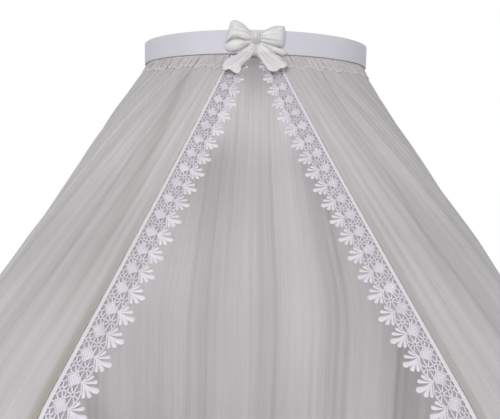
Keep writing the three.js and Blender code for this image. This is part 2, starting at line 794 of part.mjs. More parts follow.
function seamFrames(openingAt, lengths) {
  // Point, inward direction across the lace and outward normal at each length of the seam.
  const grid = hang(seamRowAt(openingAt), lengths);
  return grid.map((row, r) => {
    const before = grid[Math.max(r - 1, 0)][0];
    const after = grid[Math.min(r + 1, grid.length - 1)][0];
    const down = after.clone().sub(before).normalize();
    const inward = row[0].clone().sub(row[1]).normalize();
    inward.addScaledVector(down, -inward.dot(down)).normalize();
    return { point: row[0], inward, normal: inward.clone().cross(down).normalize(), length: lengths[r] };
  });
}

function edgeLengthsAfter(leadLength) {
  const starts = Array.from({ length: laceRepeatCount + 1 }, (_, k) => leadLength + k * laceRepeatLength);
  return [-laceTab, 0, ...starts.filter((length) => length < clothLength), clothLength];
}

for (const side of frontSides) {
  side.frames = seamFrames(side.openingAt, edgeLengthsAfter(side.leadLength));
  const strip = side.frames.map((frame) => [-bindingWidth, 0].map((across) => (
    frame.point.clone().addScaledVector(frame.inward, across)
  )));
  place(`binding_${side.name}`, side.turned(sheetSolid(strip, bindingThickness)), ribbonMaterial);
}

// Guipure lace. One repeat has a scallop on each side of a palmette of five petals.
// Outline points are shares of the repeat: along the seam, and across from it.
const valleyShare = 0.965;
const palmetteShares = [
  [0.8, 0.95], [0.98, 1.15], [0.74, 1.06],
  [0.9, 1.38], [0.68, 1.2],
  [0.7, 1.55], [0.55, 1.6], [0.5, 1.2],
  [0.3, 1.37], [0.38, 1.04],
  [0.14, 1.13], [0.26, 0.93],
];

const laceWidthAt = (length) => between(laceTopWidthShare, 1, length / laceFullWidthDrop);

function laceSolid(edgeFrames) {
  const points = [];
  const triangles = [];
  const width = valleyShare * laceRepeatLength;
  const frameAt = (span, share) => {
    const a = edgeFrames[span];
    const b = edgeFrames[span + 1];
    return {
      point: a.point.clone().lerp(b.point, share),
      inward: a.inward.clone().lerp(b.inward, share).normalize(),
      normal: a.normal.clone().lerp(b.normal, share).normalize(),
      length: between(a.length, b.length, share),
    };
  };
  const addSpan = (span, outline, firstEnd, lastEnd) => {
    // outline runs once round the span: along the seam edge, then back along the scallops.
    const contour = outline.map(([along, across]) => new THREE.Vector2(along, across));
    const faces = THREE.ShapeUtils.triangulateShape(contour, []);
    const base = points.length;
    for (const side of [1, -1]) {
      for (const [along, across] of outline) {
        const frame = frameAt(span, along);
        const reach = seat + (across - seat) * laceWidthAt(frame.length);
        points.push(frame.point.clone()
          .addScaledVector(frame.inward, across > 0 ? reach : seat)
          .addScaledVector(frame.normal, (side * laceThickness) / 2));
      }
    }
    const count = outline.length;
    for (const [i, j, k] of faces) {
      triangles.push([base + i, base + j, base + k]);
      triangles.push([base + count + i, base + count + k, base + count + j]);
    }
    const clockwise = THREE.ShapeUtils.area(contour) < 0;
    for (let k = 0; k < count; k += 1) {
      const next = (k + 1) % count;
      const atFirst = outline[k][0] === 0 && outline[next][0] === 0;
      const atLast = outline[k][0] === 1 && outline[next][0] === 1;
      if ((atFirst && !firstEnd) || (atLast && !lastEnd)) {
        continue;
      }
      const wall = [base + k, base + next, base + count + next, base + count + k];
      if (clockwise) {
        wall.reverse();
      }
      quad(triangles, wall[3], wall[2], wall[1], wall[0]);
    }
  };
  const plain = [[0, 0], [1, 0], [1, width], [0, width]];
  const palmette = palmetteShares.map(([along, across]) => [along, across * laceRepeatLength]);
  const scalloped = [[0, 0], [1, 0], [1, width], ...palmette, [0, width]];
  // Both ends of the lace are plain: the tab behind the band, the lead, and what is left at the hem.
  const lastSpan = edgeFrames.length - 2;
  for (let span = 0; span <= lastSpan; span += 1) {
    const repeated = span >= leadSpanCount && span < leadSpanCount + laceRepeatCount;
    addSpan(span, repeated ? scalloped : plain, span === 0, span === lastSpan);
  }
  return bareGeometry(closedGeometry(points, triangles));
}

for (const side of frontSides) {
  place(`lace_trim_${side.name}`, side.turned(laceSolid(side.frames)), laceMaterial);
}

export default canopy;
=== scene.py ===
import math

import bpy
import numpy as np
from mathutils import Matrix, Vector


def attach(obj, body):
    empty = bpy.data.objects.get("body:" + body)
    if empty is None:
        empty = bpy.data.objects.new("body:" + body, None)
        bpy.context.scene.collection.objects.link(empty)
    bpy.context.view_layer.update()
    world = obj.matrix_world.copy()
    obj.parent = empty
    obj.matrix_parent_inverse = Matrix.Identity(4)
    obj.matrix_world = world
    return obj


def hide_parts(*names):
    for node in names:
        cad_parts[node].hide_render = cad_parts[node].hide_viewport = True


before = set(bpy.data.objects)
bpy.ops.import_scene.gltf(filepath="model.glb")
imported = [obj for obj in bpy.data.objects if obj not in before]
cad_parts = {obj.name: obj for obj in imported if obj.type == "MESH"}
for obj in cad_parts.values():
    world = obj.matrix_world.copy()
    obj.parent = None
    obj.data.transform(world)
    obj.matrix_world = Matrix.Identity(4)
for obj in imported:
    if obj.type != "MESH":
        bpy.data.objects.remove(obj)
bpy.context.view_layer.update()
MM = 0.001
TAU = 2 * math.pi
TINY = 1e-9

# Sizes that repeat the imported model's
CROWN_HALF_WIDTH = 300.0
CROWN_DEPTH = 208.0
BAND_HEIGHT = 54.0
BAND_THICKNESS = 5.0
BAND_BOTTOM = -20.15
BAND_TOP = BAND_BOTTOM + BAND_HEIGHT
SEAT = 0.3
CLOTH_INSET = 10.1
HEADING_HEIGHT = 26.0
FLARE_DROP = 580.0
FLARE_HALF_WIDTH = 574.0
FLARE_DEPTH = 714.0
DEPTH_CURL = 0.2
ROUNDING_DROP = 160.0
BOX_DROP = 400.0
OVAL_POWER = 2.0
BOX_POWER = 4.6
WALL_GAP_TOP = 24.0
WALL_GAP_LOW = 6.0
WALL_GAP_DROP = 240.0
LACE_REPEAT = 40.25
LACE_COUNT = 39
LACE_TAB = 2.4
PACKED_LACE_LEAD = 19
BINDING_WIDTH = 5.0
CLOTH_LENGTH = PACKED_LACE_LEAD + LACE_COUNT * LACE_REPEAT
WALL_LENGTH = 1430.0
FLARE_LENGTH = FLARE_DROP * math.sqrt(2)
BOW_REACH = 74.0
BACK_HALF_TOP = 276.0
BACK_SIDE_CLEARANCE = 26.0
BACK_GAP_TOP = 23.1
BACK_GAP_LOW = 34.0

# Sizes that only this script has
BINDING_LAP = 2.3
FRILL_HEIGHT = 43.0
PANEL_THICKNESS = 1.2
FRILL_THICKNESS = 0.8
LINING_THICKNESS = 0.4

# Meshes


def make_piece(name, verts_mm, faces, material, uv=None):
    """A mesh piece that rides on the root body. faces is a list of index arrays with 3 or 4 columns."""
    mesh = bpy.data.meshes.new(name)
    verts = np.asarray(verts_mm, dtype=np.float32) * MM
    faces = [f for f in (np.asarray(block, dtype=np.int32) for block in faces) if len(f)]
    counts = np.concatenate([np.full(len(f), f.shape[1], np.int32) for f in faces])
    loops = np.concatenate([f.ravel() for f in faces])
    mesh.vertices.add(len(verts))
    mesh.vertices.foreach_set("co", verts.ravel())
    mesh.loops.add(len(loops))
    mesh.loops.foreach_set("vertex_index", loops)
    mesh.polygons.add(len(counts))
    mesh.polygons.foreach_set("loop_start", np.concatenate([[0], np.cumsum(counts)[:-1]]).astype(np.int32))
    mesh.polygons.foreach_set("loop_total", counts)
    mesh.polygons.foreach_set("use_smooth", np.ones(len(counts), bool))
    if uv is not None:
        layer = mesh.uv_layers.new(name="cloth")
        layer.data.foreach_set("uv", np.asarray(uv, dtype=np.float32)[loops].ravel())
    mesh.update(calc_edges=True)
    mesh.validate()
    mesh.materials.append(material)
    piece = bpy.data.objects.new(name, mesh)
    bpy.context.collection.objects.link(piece)
    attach(piece, "root")
    return piece


def unit(vectors):
    return vectors / np.maximum(np.linalg.norm(vectors, axis=-1, keepdims=True), TINY)


def tube_faces(count, sides, start=0):
    """Side quads and end triangles of a tube of count rings."""
    k, s = np.meshgrid(np.arange(count - 1), np.arange(sides), indexing="ij")
    a = start + k * sides + s
    b = start + k * sides + (s + 1) % sides
    ends = np.arange(1, sides - 1)
    last = 0 * ends + (count - 1) * sides
    caps = [np.stack([0 * ends, ends + 1, ends], -1), np.stack([last, last + ends, last + ends + 1], -1)]
    return np.stack([a, b, b + sides, a + sides], -1).reshape(-1, 4), start + np.concatenate(caps)


def shell(front, back, rows, columns):
    """Vertices and faces of a closed body between two grids of points."""
    n = rows * columns
    index = np.arange(n).reshape(rows, columns)
    quads = np.stack([index[:-1, :-1], index[:-1, 1:], index[1:, 1:], index[1:, :-1]], -1).reshape(-1, 4)
    rims = []
    for line, turned in ((index[0], False), (index[-1], True), (index[:, 0], True), (index[:, -1], False)):
        quad = np.stack([line[:-1], line[1:], line[1:] + n, line[:-1] + n], -1)
        rims.append(quad if turned else quad[:, ::-1])
    verts = np.concatenate([front, back])
    return verts, facing_out(verts, [quads, quads[:, ::-1] + n, *rims])


def sheet_mesh(grid, thickness, uv):
    """Vertices, faces and UVs of a closed sheet of even thickness on a grid of points."""
    normal = unit(np.cross(np.gradient(grid, axis=1), np.gradient(grid, axis=0)))
    front = (grid + normal * thickness / 2).reshape(-1, 3)
    back = (grid - normal * thickness / 2).reshape(-1, 3)
    verts, faces = shell(front, back, *grid.shape[:2])
    return verts, faces, np.concatenate([uv.reshape(-1, 2)] * 2)


def facing_out(verts, faces):
    """The faces of one closed body, all turned over if they face inward."""
    volume = 0
    for block in faces:
        for k in range(1, block.shape[1] - 1):
            a, b, c = (verts[block[:, i]] for i in (0, k, k + 1))
            volume += np.sum(a * np.cross(b, c))
    return faces if volume > 0 else [f[:, ::-1] for f in faces]


def mirrored(verts, faces):
    return verts * np.array([-1.0, 1.0, 1.0]), [f[:, ::-1] for f in faces]


class Cords:
    """Collects tubes of changing thickness in local millimetres: along, across and up from the lace's plane."""

    def __init__(self):
        self.verts, self.faces, self.triangles, self.count = [], [], [], 0

    def add(self, points, half_width, half_height, sides=6, capped=True):
        points = np.asarray(points, float)
        n = len(points)
        half_width = np.broadcast_to(half_width, n)
        half_height = np.broadcast_to(half_height, n)
        tangent = np.gradient(points, axis=0)
        side = np.stack([-tangent[:, 1], tangent[:, 0], np.zeros(n)], -1)
        angle = TAU * np.arange(sides) / sides
        ring = (
            points[:, None, :]
            + unit(side)[:, None, :] * (half_width[:, None] * np.cos(angle))[..., None]
            + np.array([0, 0, 1.0]) * (half_height[:, None] * np.sin(angle))[..., None]
        )
        quads, caps = tube_faces(n, sides, self.count)
        self.faces.append(quads)
        if capped:
            self.triangles.append(caps)
        self.verts.append(ring.reshape(-1, 3))
        self.count += n * sides

    def blob(self, centre, radius, height, sides=7):
        """A small rounded knot."""
        angle = TAU * np.arange(sides) / sides
        rows = [(0.72, 0.7), (1.0, 0.0), (0.72, -0.7)]
        ring = [
            np.stack([radius * w * np.cos(angle), radius * w * np.sin(angle), np.full(sides, height * h)], -1)
            for w, h in rows
        ]
        verts = np.concatenate([*ring, [[0, 0, height]], [[0, 0, -height]]]) + np.asarray(centre)
        start = self.count
        s = np.arange(sides)
        t = (s + 1) % sides
        self.faces.append(tube_faces(3, sides, start)[0][:, [1, 0, 3, 2]])
        top = np.full(sides, start + 3 * sides)
        self.triangles.append(np.stack([top, start + s, start + t], -1))
        self.triangles.append(np.stack([top + 1, start + 2 * sides + t, start + 2 * sides + s], -1))
        self.verts.append(verts)
        self.count += len(verts)

    def arrays(self):
        return np.concatenate(self.verts), np.concatenate(self.faces), np.concatenate(self.triangles)


# Materials


def srgb(r, g, b):
    """Linear colour of an 8-bit one."""
    line = [c / 255 for c in (r, g, b)]
    return [c / 12.92 if c <= 0.04045 else ((c + 0.055) / 1.055) ** 2.4 for c in line] + [1.0]


def grey(level):
    return (level, level, level, 1)


class Look:
    """A material or world in the making. A socket takes either another node's output or a plain value."""

    def __init__(self, owner):
        owner.use_nodes = True
        self.owner, self.nodes = owner, owner.node_tree.nodes
        self.shader = self.nodes.get("Principled BSDF")

    def fill(self, made, values):
        """Fills a node's inputs by name or number."""
        for key, value in values.items():
            socket = made.inputs[key.replace("_", " ") if isinstance(key, str) else key]
            if isinstance(value, bpy.types.NodeSocket):
                self.owner.node_tree.links.new(value, socket)
            else:
                socket.default_value = value

    def make(self, kind, output, settings=None, numbered=None, **named):
        """One output of a new node."""
        made = self.nodes.new(kind)
        for key, value in (settings or {}).items():
            setattr(made, key, value)
        self.fill(made, {**(numbered or {}), **named})
        return made.outputs[output]

    def coords(self, output="Object", scale=(1, 1, 1)):
        place = self.make("ShaderNodeTexCoord", output)
        return self.make("ShaderNodeMapping", "Vector", Vector=place, Scale=scale)

    def noise(self, vector, scale, detail=3.0, roughness=0.5):
        values = {"Vector": vector, "Scale": scale, "Detail": detail, "Roughness": roughness}
        return self.make("ShaderNodeTexNoise", "Fac", **values)

    def cells(self, vector, output="Distance", settings=None, **values):
        return self.make("ShaderNodeTexVoronoi", output, settings, Vector=vector, **values)

    def attribute(self, name):
        return self.make("ShaderNodeAttribute", "Fac", {"attribute_name": name})

    def math(self, operation, *values):
        return self.make("ShaderNodeMath", "Value", {"operation": operation}, dict(enumerate(values)))

    def add(self, a, b, share):
        return self.math("MULTIPLY_ADD", b, share, a)

    def mix(self, share, first, second, blend="MIX"):
        settings = {"data_type": "RGBA", "blend_type": blend}
        return self.make("ShaderNodeMix", 2, settings, {0: share, 6: first, 7: second})

    def ramp(self, source, dark, light, low=0.3, high=0.7):
        share = self.make("ShaderNodeMapRange", "Result", Value=source, From_Min=low, From_Max=high)
        return self.mix(share, dark, light)

    def bump(self, height, distance, strength, **below):
        values = {"Height": height, "Distance": distance, "Strength": strength, **below}
        made = self.make("ShaderNodeBump", "Normal", **values)
        self.fill(self.shader, {"Normal": made})
        return made

    def surface(self, colour, roughness, **others):
        self.fill(self.shader, {"Base_Color": colour, "Roughness": roughness, **others})


def new_look(name):
    return Look(bpy.data.materials.new(name))


def painted_wood():
    look = new_look("satin_white_paint")
    colour = look.ramp(look.noise(look.coords(), 9), srgb(200, 198, 207), srgb(207, 205, 213))
    brushed = look.noise(look.coords(scale=(14, 14, 260)), 3, 4)
    peel = look.noise(look.coords(), 520, 2)
    look.surface(colour, look.ramp(brushed, grey(0.4), grey(0.5)), Specular_IOR_Level=0.2)
    look.bump(look.add(brushed, peel, 0.5), 0.0004, 0.35)
    return look.owner


def cast_resin():
    look = new_look("cast_resin")
    mottled = look.ramp(look.noise(look.coords(), 60, 4), srgb(212, 210, 211), srgb(220, 219, 220))
    grain = look.noise(look.coords(), 700, 3)
    # Painted shade: the attribute made from the bow's fold lines darkens the resin along its creases.
    colour = look.mix(look.attribute("crease_shade"), mottled, srgb(168, 163, 164))
    look.surface(colour, look.ramp(grain, grey(0.55), grey(0.68)))
    look.bump(grain, 0.0003, 0.4)
    return look.owner


def wood(name, dark, light, scale):
    look = new_look(name)
    grain = look.noise(look.coords(scale=scale), 6, 5, 0.65)
    look.surface(look.ramp(grain, dark, light, 0.35, 0.65), look.ramp(grain, grey(0.7), grey(0.85)))
    look.bump(grain, 0.0003, 0.5)
    return look.owner


def steel():
    look = new_look("zinc_plated_steel")
    cloudy = look.noise(look.coords(), 180, 4)
    colour = look.ramp(cloudy, srgb(176, 178, 181), srgb(200, 203, 206))
    look.surface(colour, look.ramp(cloudy, grey(0.3), grey(0.45)), Metallic=1.0)
    look.bump(cloudy, 0.0001, 0.3)
    return look.owner


def woven_tape():
    look = new_look("woven_tape")
    checks = look.cells(look.coords(), Scale=1100.0)
    look.surface(look.ramp(checks, srgb(232, 231, 228), srgb(206, 204, 200), 0.0), 0.9)
    look.bump(checks, 0.0004, 0.8)
    return look.owner


def satin_ribbon():
    look = new_look("satin_binding")
    weave = look.noise(look.coords("UV", (900, 60, 1)), 1, 2)
    look.surface(look.ramp(weave, srgb(208, 204, 211), srgb(220, 216, 223)), 0.5, Sheen_Weight=0.1)
    look.bump(weave, 0.0002, 0.5)
    return look.owner


def lace_thread():
    look = new_look("guipure_thread")
    twist = look.noise(look.coords(), 1300, 2)
    tone = look.add(look.noise(look.coords(), 40, 2), twist, 0.4)
    look.surface(look.ramp(tone, srgb(213, 209, 218), srgb(227, 224, 231), 0.5, 0.9), 0.8, Sheen_Weight=0.1)
    look.bump(twist, 0.0005, 0.7)
    return look.owner


def tulle(name, dark, light, see_through, streaks):
    """Soft net in layers. UVs are metres across and down the cloth."""
    look = new_look(name)
    fold_relief_and_shade = look.noise(look.coords("UV", (streaks, 1.3, 1)), 1, 4, 0.6)
    clouds = look.noise(look.coords("UV", (5, 2.2, 1)), 1, 3)
    # The colour darkens with the folds' bump into their valleys: painted shade along the folds; the cloudy part is the
    # net's own uneven tone.
    colour = look.ramp(look.add(fold_relief_and_shade, clouds, 0.7), dark, light, 0.55, 1.15)
    net = {"feature": "DISTANCE_TO_EDGE"}
    holes = look.cells(look.coords("UV"), "Distance", net, Scale=620.0, Randomness=0.35)
    thread = look.make("ShaderNodeMapRange", "Result", Value=holes, From_Max=0.25, To_Min=1.0, To_Max=0.9)
    # Painted shade: the shade attribute darkens the cloth to a warm grey along the lace edge and in the deep folds.
    painted_shade = look.mix(look.attribute("shade"), (1, 1, 1, 1), (0.74, 0.71, 0.65, 1))
    cloth = look.mix(1.0, look.mix(1.0, colour, thread, "MULTIPLY"), painted_shade, "MULTIPLY")
    look.surface(cloth, 0.95, Specular_IOR_Level=0.15, Sheen_Weight=0.12)
    low = look.bump(thread, 0.0004, 0.5)
    look.bump(fold_relief_and_shade, 0.004, 0.6, Normal=low)
    through = look.make("ShaderNodeBsdfTranslucent", "BSDF", Color=cloth)
    shaders = {0: see_through, 1: look.shader.outputs["BSDF"], 2: through}
    both = look.make("ShaderNodeMixShader", "Shader", None, shaders)
    look.fill(look.nodes["Material Output"], {"Surface": both})
    return look.owner


PAINT = painted_wood()
RESIN = cast_resin()
BOARD = wood("primed_plywood", srgb(206, 198, 208), srgb(226, 219, 228), (12, 60, 60))
RAIL = wood("primed_pine", srgb(200, 191, 200), srgb(220, 212, 221), (8, 90, 90))
STEEL = steel()
TAPE = woven_tape()
RIBBON = satin_ribbon()
LACE = lace_thread()
TULLE_FRONT = tulle("tulle_front", srgb(206, 202, 204), srgb(229, 228, 228), 0.35, 45)
TULLE_BACK = tulle("tulle_back", srgb(204, 200, 201), srgb(216, 213, 214), 0.35, 110)
# The frill's net is lighter than the panels' to make up for the band's shadow on it: painted light.
LIGHTENED_FRILL_TULLE = tulle("tulle_frill_lightened", srgb(222, 218, 218), srgb(244, 241, 241), 0.5, 140)

# Shape of the hanging cloth, by the drop below the band's lower edge. Each front side is made on the left.

# Each deep fold has its start and wander in shares of the panel, the cloth length it wanders over, its half width,
# depth in millimetres, painted shade, and the cloth lengths where it comes in and goes out.
SIDES = {
    "left": {
        "opening": (53.5, 284.0), "bulge": (9.0, 5.0), "lead": 8.2, "seed": 0.0,
        "fold_phase": 1.1, "folds": 1.25, "edge_shade": 0.9,
        "deep": [(0.7, 0.235, 330, 0.03, 4.5, 0.4, 20, 600), (0.7, 0.155, 420, 0.008, 2.0, 0.25, 250, 560)],
    },
    "right": {
        "opening": (42.0, 309.5), "bulge": (0.0, 0.0), "lead": 5.3, "seed": 2.4,
        "fold_phase": 2.9, "folds": 0.72, "edge_shade": 0.5,
        "deep": [(0.7, 0.1, 200, 0.012, 3.0, 0.5, -40, 60), (0.6, 0.3, 480, 0.013, 2.5, 0.25, 340, 560)],
    },
}
BULGE_DROP = 520.0
SECTION_POINTS = 721
HANG_LEVELS = 321
FRONT_FOLDS = 7
BACK_FOLDS = 6


def between(start, end, share):
    return start + (end - start) * np.clip(share, 0, 1)


def spread(start, end, curl, drop):
    share = min(max(drop, 0), FLARE_DROP) / FLARE_DROP
    grown = (end - start) * ((1 - curl) * share + curl * share**2)
    past = min(max(drop - FLARE_DROP, 0), ROUNDING_DROP)
    slope = (end - start) * (1 + curl) / FLARE_DROP
    return start + grown + slope * (past - past**2 / (2 * ROUNDING_DROP))


def half_width_at(drop, bulge=(0.0, 0.0)):
    swell = bulge[drop > BULGE_DROP / 2] * math.sin(TAU * min(drop, BULGE_DROP) / BULGE_DROP)
    return spread(CROWN_HALF_WIDTH - CLOTH_INSET, FLARE_HALF_WIDTH, 0, drop) + swell


def depth_at(drop):
    return spread(CROWN_DEPTH - CLOTH_INSET, FLARE_DEPTH, DEPTH_CURL, drop)


def opening_at(drop, side):
    return spread(*side["opening"], 0, drop)


def section(drop, front_half, shares, bulge=(0.0, 0.0)):
    """Points at equal shares of the left half of the bell's cross-section, from the wall to x = -front_half."""
    angle = np.linspace(0, math.pi / 2, SECTION_POINTS)
    power = between(OVAL_POWER, BOX_POWER, drop / BOX_DROP)
    c, s = np.cos(angle), np.sin(angle)
    radius = ((c / half_width_at(drop, bulge)) ** power + (s / depth_at(drop)) ** power) ** (-1 / power)
    x, y = -radius * c, -radius * s
    wall_gap = between(WALL_GAP_TOP, WALL_GAP_LOW, drop / WALL_GAP_DROP)
    first = np.interp(wall_gap, -y, angle)
    last = np.interp(-front_half, x, angle)
    inside = angle[(angle > first) & (angle < last)]
    at = np.concatenate([[first], inside, [last]])
    x, y = np.interp(at, angle, x), np.interp(at, angle, y)
    run = np.concatenate([[0], np.cumsum(np.hypot(np.diff(x), np.diff(y)))])
    want = np.asarray(shares) * run[-1]
    return np.stack([np.interp(want, run, x), np.interp(want, run, y)], -1)


def hang(row_at, lengths, length_shares):
    """Follows each column of row_at down the cloth, and gives its points at the wanted cloth lengths."""
    drops = np.linspace(0, CLOTH_LENGTH, HANG_LEVELS)
    levels = np.array([np.column_stack([row_at(d), np.full(len(length_shares), BAND_BOTTOM - d)]) for d in drops])
    steps = np.linalg.norm(np.diff(levels, axis=0), axis=2)
    runs = np.concatenate([np.zeros((1, steps.shape[1])), np.cumsum(steps, axis=0)])
    grid = np.empty((len(lengths), len(length_shares), 3))
    for c, share in enumerate(length_shares):
        want = np.maximum(lengths, 0) * share
        for k in range(3):
            grid[:, c, k] = np.interp(want, runs[:, c], levels[:, c, k])
    grid[:, :, 2] -= np.minimum(lengths, 0)[:, None]
    return grid


def outward(grid):
    """Horizontal normal of each row, away from the bed."""
    along = np.gradient(grid, axis=1)
    side = np.stack([along[..., 1], -along[..., 0], np.zeros(along.shape[:2])], -1)
    return unit(side)


def waves(turns, parts):
    """Sum of cosines: parts are (share, frequency, phase), with turns the share along the cloth."""
    return sum(a * np.cos(TAU * f * turns + p) for a, f, p in parts)


def gathers(share, length, count, seed, depth, reach):
    """Narrow valleys below a gathered heading. Each has its own place, depth and length."""
    shift = np.zeros(np.broadcast_shapes(share.shape, length.shape))
    for k in range(count):
        place = (k + 0.5 + 0.4 * math.sin(7.1 * k + seed)) / count
        strength = 0.2 + 0.8 * math.sin(2.3 * k + 1.7 * seed) ** 4
        run = reach * (0.25 + 0.75 * math.sin(4.9 * k + 0.6 * seed) ** 4)
        width = (0.3 + 0.12 * math.sin(3.7 * k + seed)) / count
        wander = 0.2 / count * np.sin(length / 90 + k)
        shift -= depth * strength * np.exp(-(((share - place - wander) / width) ** 2)) * np.exp(-length / run)
    return shift


def edge_distance(grid):
    """Distance along each row from its last point."""
    steps = np.linalg.norm(np.diff(grid, axis=1), axis=2)[:, ::-1]
    return np.concatenate([np.zeros((len(grid), 1)), np.cumsum(steps, axis=1)], axis=1)[:, ::-1]


EDGE_SETBACK = BINDING_WIDTH + 5 * SEAT


def front_row(side, shares):
    return lambda drop: section(drop, opening_at(drop, side) + EDGE_SETBACK, shares, side["bulge"])


def deep_folds_and_shade(share, length, side):
    """Depth of the folds that stand out in one front panel, and the shade painted into them."""
    depth, dark = 0, 0
    for start, wander, reach, width, deep, tone, first, last in side["deep"]:
        ridge = np.exp(-(((share - start - wander * np.tanh(length / reach)) / width) ** 2))
        ridge = ridge * between(0, 1, (length - first) / 60) * between(1, 0, (length - last) / 150)
        depth, dark = depth + deep * ridge, dark + tone * ridge
    return depth, dark


def front_folds(share, length, side):
    """Outward shift of a front panel: gathers under the band that run out into broad soft folds."""
    share, length, seed = share[None, :], np.maximum(length, 0), side["seed"]
    edge = np.sqrt(np.sin(math.pi * np.clip(share, 0, 1)))
    hem = (length - FLARE_LENGTH) / (CLOTH_LENGTH - FLARE_LENGTH)
    broad = between(0.2, 8, length / FLARE_LENGTH) + between(0, 12, hem)
    turn = TAU * FRONT_FOLDS * share
    shift = broad * edge * (0.72 * np.cos(turn) + 0.28 * np.cos(0.57 * turn + side["fold_phase"]))
    drift = share + 0.004 * np.sin(length / 210 + seed)
    medium = waves(drift, [(0.4, 13.3, 0.4 + seed), (0.34, 19.7, 2.1 + 2 * seed), (0.26, 27.1, 4.4 + 3 * seed)])
    start = between(0, 1, length / 25)
    shift += edge * start * side["folds"] * between(1.5, 2.8, length / 900) * medium
    cluster = 0.3 + 0.7 * np.exp(-(((share - 0.62) / 0.24) ** 2))
    narrow = gathers(drift, length, 46, seed, 7.5, 260) * cluster
    fine = gathers(drift, length, 97, seed + 1.3, 1.8, 600)
    return shift + edge * start * side["folds"] * (narrow + fine) - deep_folds_and_shade(share, length, side)[0]


PANEL_COLUMNS = 420
PANEL_ROWS = 220
PANEL_FLAT_WIDTH = 1.12
panel_shares = np.linspace(0, 1, PANEL_COLUMNS)
panel_lengths = np.concatenate([np.linspace(-HEADING_HEIGHT, 0, 8)[:-1], np.linspace(0, CLOTH_LENGTH, PANEL_ROWS)])
hem_shares = between(WALL_LENGTH / CLOTH_LENGTH, 1, panel_shares)


def on_side(name, side, verts, faces, material, uv=None):
    """A piece made on the left, turned over if it belongs on the right."""
    if side == "right":
        verts, faces = mirrored(verts, faces)
    return make_piece(f"{name}_{side}", verts, faces, material, uv)


def set_shade(piece, values, name="shade"):
    """A number at each vertex that the material reads as painted shade."""
    attribute = piece.data.attributes.new(name, "FLOAT", "POINT")
    attribute.data.foreach_set("value", np.asarray(values, dtype=np.float32).ravel())


def cloth_uv(shares, width, lengths):
    """UVs of a sheet's grid: metres across and down the cloth."""
    return np.stack(np.broadcast_arrays(shares[None, :] * width, lengths[:, None] * MM), -1)


panels = {}
for name, side in SIDES.items():
    grid = hang(front_row(side, panel_shares), panel_lengths, hem_shares)
    from_edge = edge_distance(grid)
    shift = front_folds(panel_shares, panel_lengths[:, None], side)
    low = np.maximum(panel_lengths, 0)[:, None]
    shift -= between(0, 1.5, low / 300) * np.exp(-(((from_edge - 12) / 7) ** 2))
    grid += outward(grid) * shift[..., None]
    uv = cloth_uv(panel_shares, PANEL_FLAT_WIDTH, panel_lengths)
    verts, faces, uv = sheet_mesh(grid, PANEL_THICKNESS, uv)
    panels[name] = on_side("tulle_panel", name, verts, faces, TULLE_FRONT, uv)
    # Painted shade along the lace edge, stronger towards the hem, and in the deep folds; the tulle material reads it.
    shade = side["edge_shade"] * np.exp(-(((from_edge - 6) / 9) ** 2)) * between(0, 1, (low - 280) / 500)
    shade = np.clip(shade + deep_folds_and_shade(panel_shares[None, :], low, side)[1], 0, 1)
    set_shade(panels[name], [shade, shade])
    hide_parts(f"tulle_{name}")

# Back panel


def back_row(shares):
    at_gap = half_width_at(WALL_GAP_DROP) - BACK_SIDE_CLEARANCE

    def row(drop):
        half = between(BACK_HALF_TOP, at_gap, drop / WALL_GAP_DROP)
        half = half_width_at(drop) - BACK_SIDE_CLEARANCE if drop > WALL_GAP_DROP else half
        gap = between(BACK_GAP_TOP, BACK_GAP_LOW, drop / WALL_GAP_DROP)
        return np.stack([(2 * shares - 1) * half, np.full(len(shares), -gap)], -1)

    return row


def back_folds(share, length):
    share, length = share[None, :], np.maximum(length, 0)[:, None]
    shift = between(0.2, 15, length / (CLOTH_LENGTH / 2)) * np.cos(TAU * BACK_FOLDS * share)
    drift = share + 0.003 * np.sin(length / 170)
    medium = waves(drift, [(0.4, 23.3, 0.9), (0.34, 33.7, 2.6), (0.26, 47.1, 5.1)])
    start = between(0, 1, length / 25)
    shift = shift * 0.8 + start * between(0.9, 1.6, length / 900) * medium
    return shift + start * (gathers(drift, length, 83, 0.7, 1.9, 360) + gathers(drift, length, 151, 2.1, 0.6, 1500))


BACK_COLUMNS = 520
BACK_FLAT_WIDTH = 1.35
back_shares = np.linspace(0, 1, BACK_COLUMNS)
back_lengths = np.concatenate([np.linspace(-HEADING_HEIGHT, 0, 6)[:-1], np.linspace(0, CLOTH_LENGTH, 160)])
back_grid = hang(back_row(back_shares), back_lengths, np.full(BACK_COLUMNS, WALL_LENGTH / CLOTH_LENGTH))
back_grid += outward(back_grid) * back_folds(back_shares, back_lengths)[..., None]
back_uv = cloth_uv(back_shares, BACK_FLAT_WIDTH, back_lengths)
verts, faces, uv = sheet_mesh(back_grid, PANEL_THICKNESS, back_uv)
back_panel = make_piece("tulle_panel_back", verts, faces, TULLE_BACK, uv)
set_shade(back_panel, np.zeros(len(verts)))
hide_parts("tulle_back")

# Heading frill with its overlocked edge

FRILL_COLUMNS = 560
FRILL_ROWS = 26
FRILL_START = -3 + 3 * SEAT
FRILL_FLAT_WIDTH = 0.46
FRILL_SEAT = 2.7
frill_shares = np.linspace(0, 1, FRILL_COLUMNS)
down = np.linspace(0, 1, FRILL_ROWS)


def world_tube(path, radius, sides=7):
    """A round cord along world points, as vertices and faces."""
    tangent = unit(np.gradient(path, axis=0))
    side = unit(np.cross(tangent, [0, 0, 1.0]))
    up = np.cross(side, tangent)
    angle = TAU * np.arange(sides) / sides
    radius = np.broadcast_to(radius, len(path))[:, None, None]
    ring = path[:, None, :] + radius * (
        side[:, None, :] * np.cos(angle)[None, :, None] + up[:, None, :] * np.sin(angle)[None, :, None]
    )
    verts = ring.reshape(-1, 3)
    return verts, facing_out(verts, [*tube_faces(len(path), sides)])


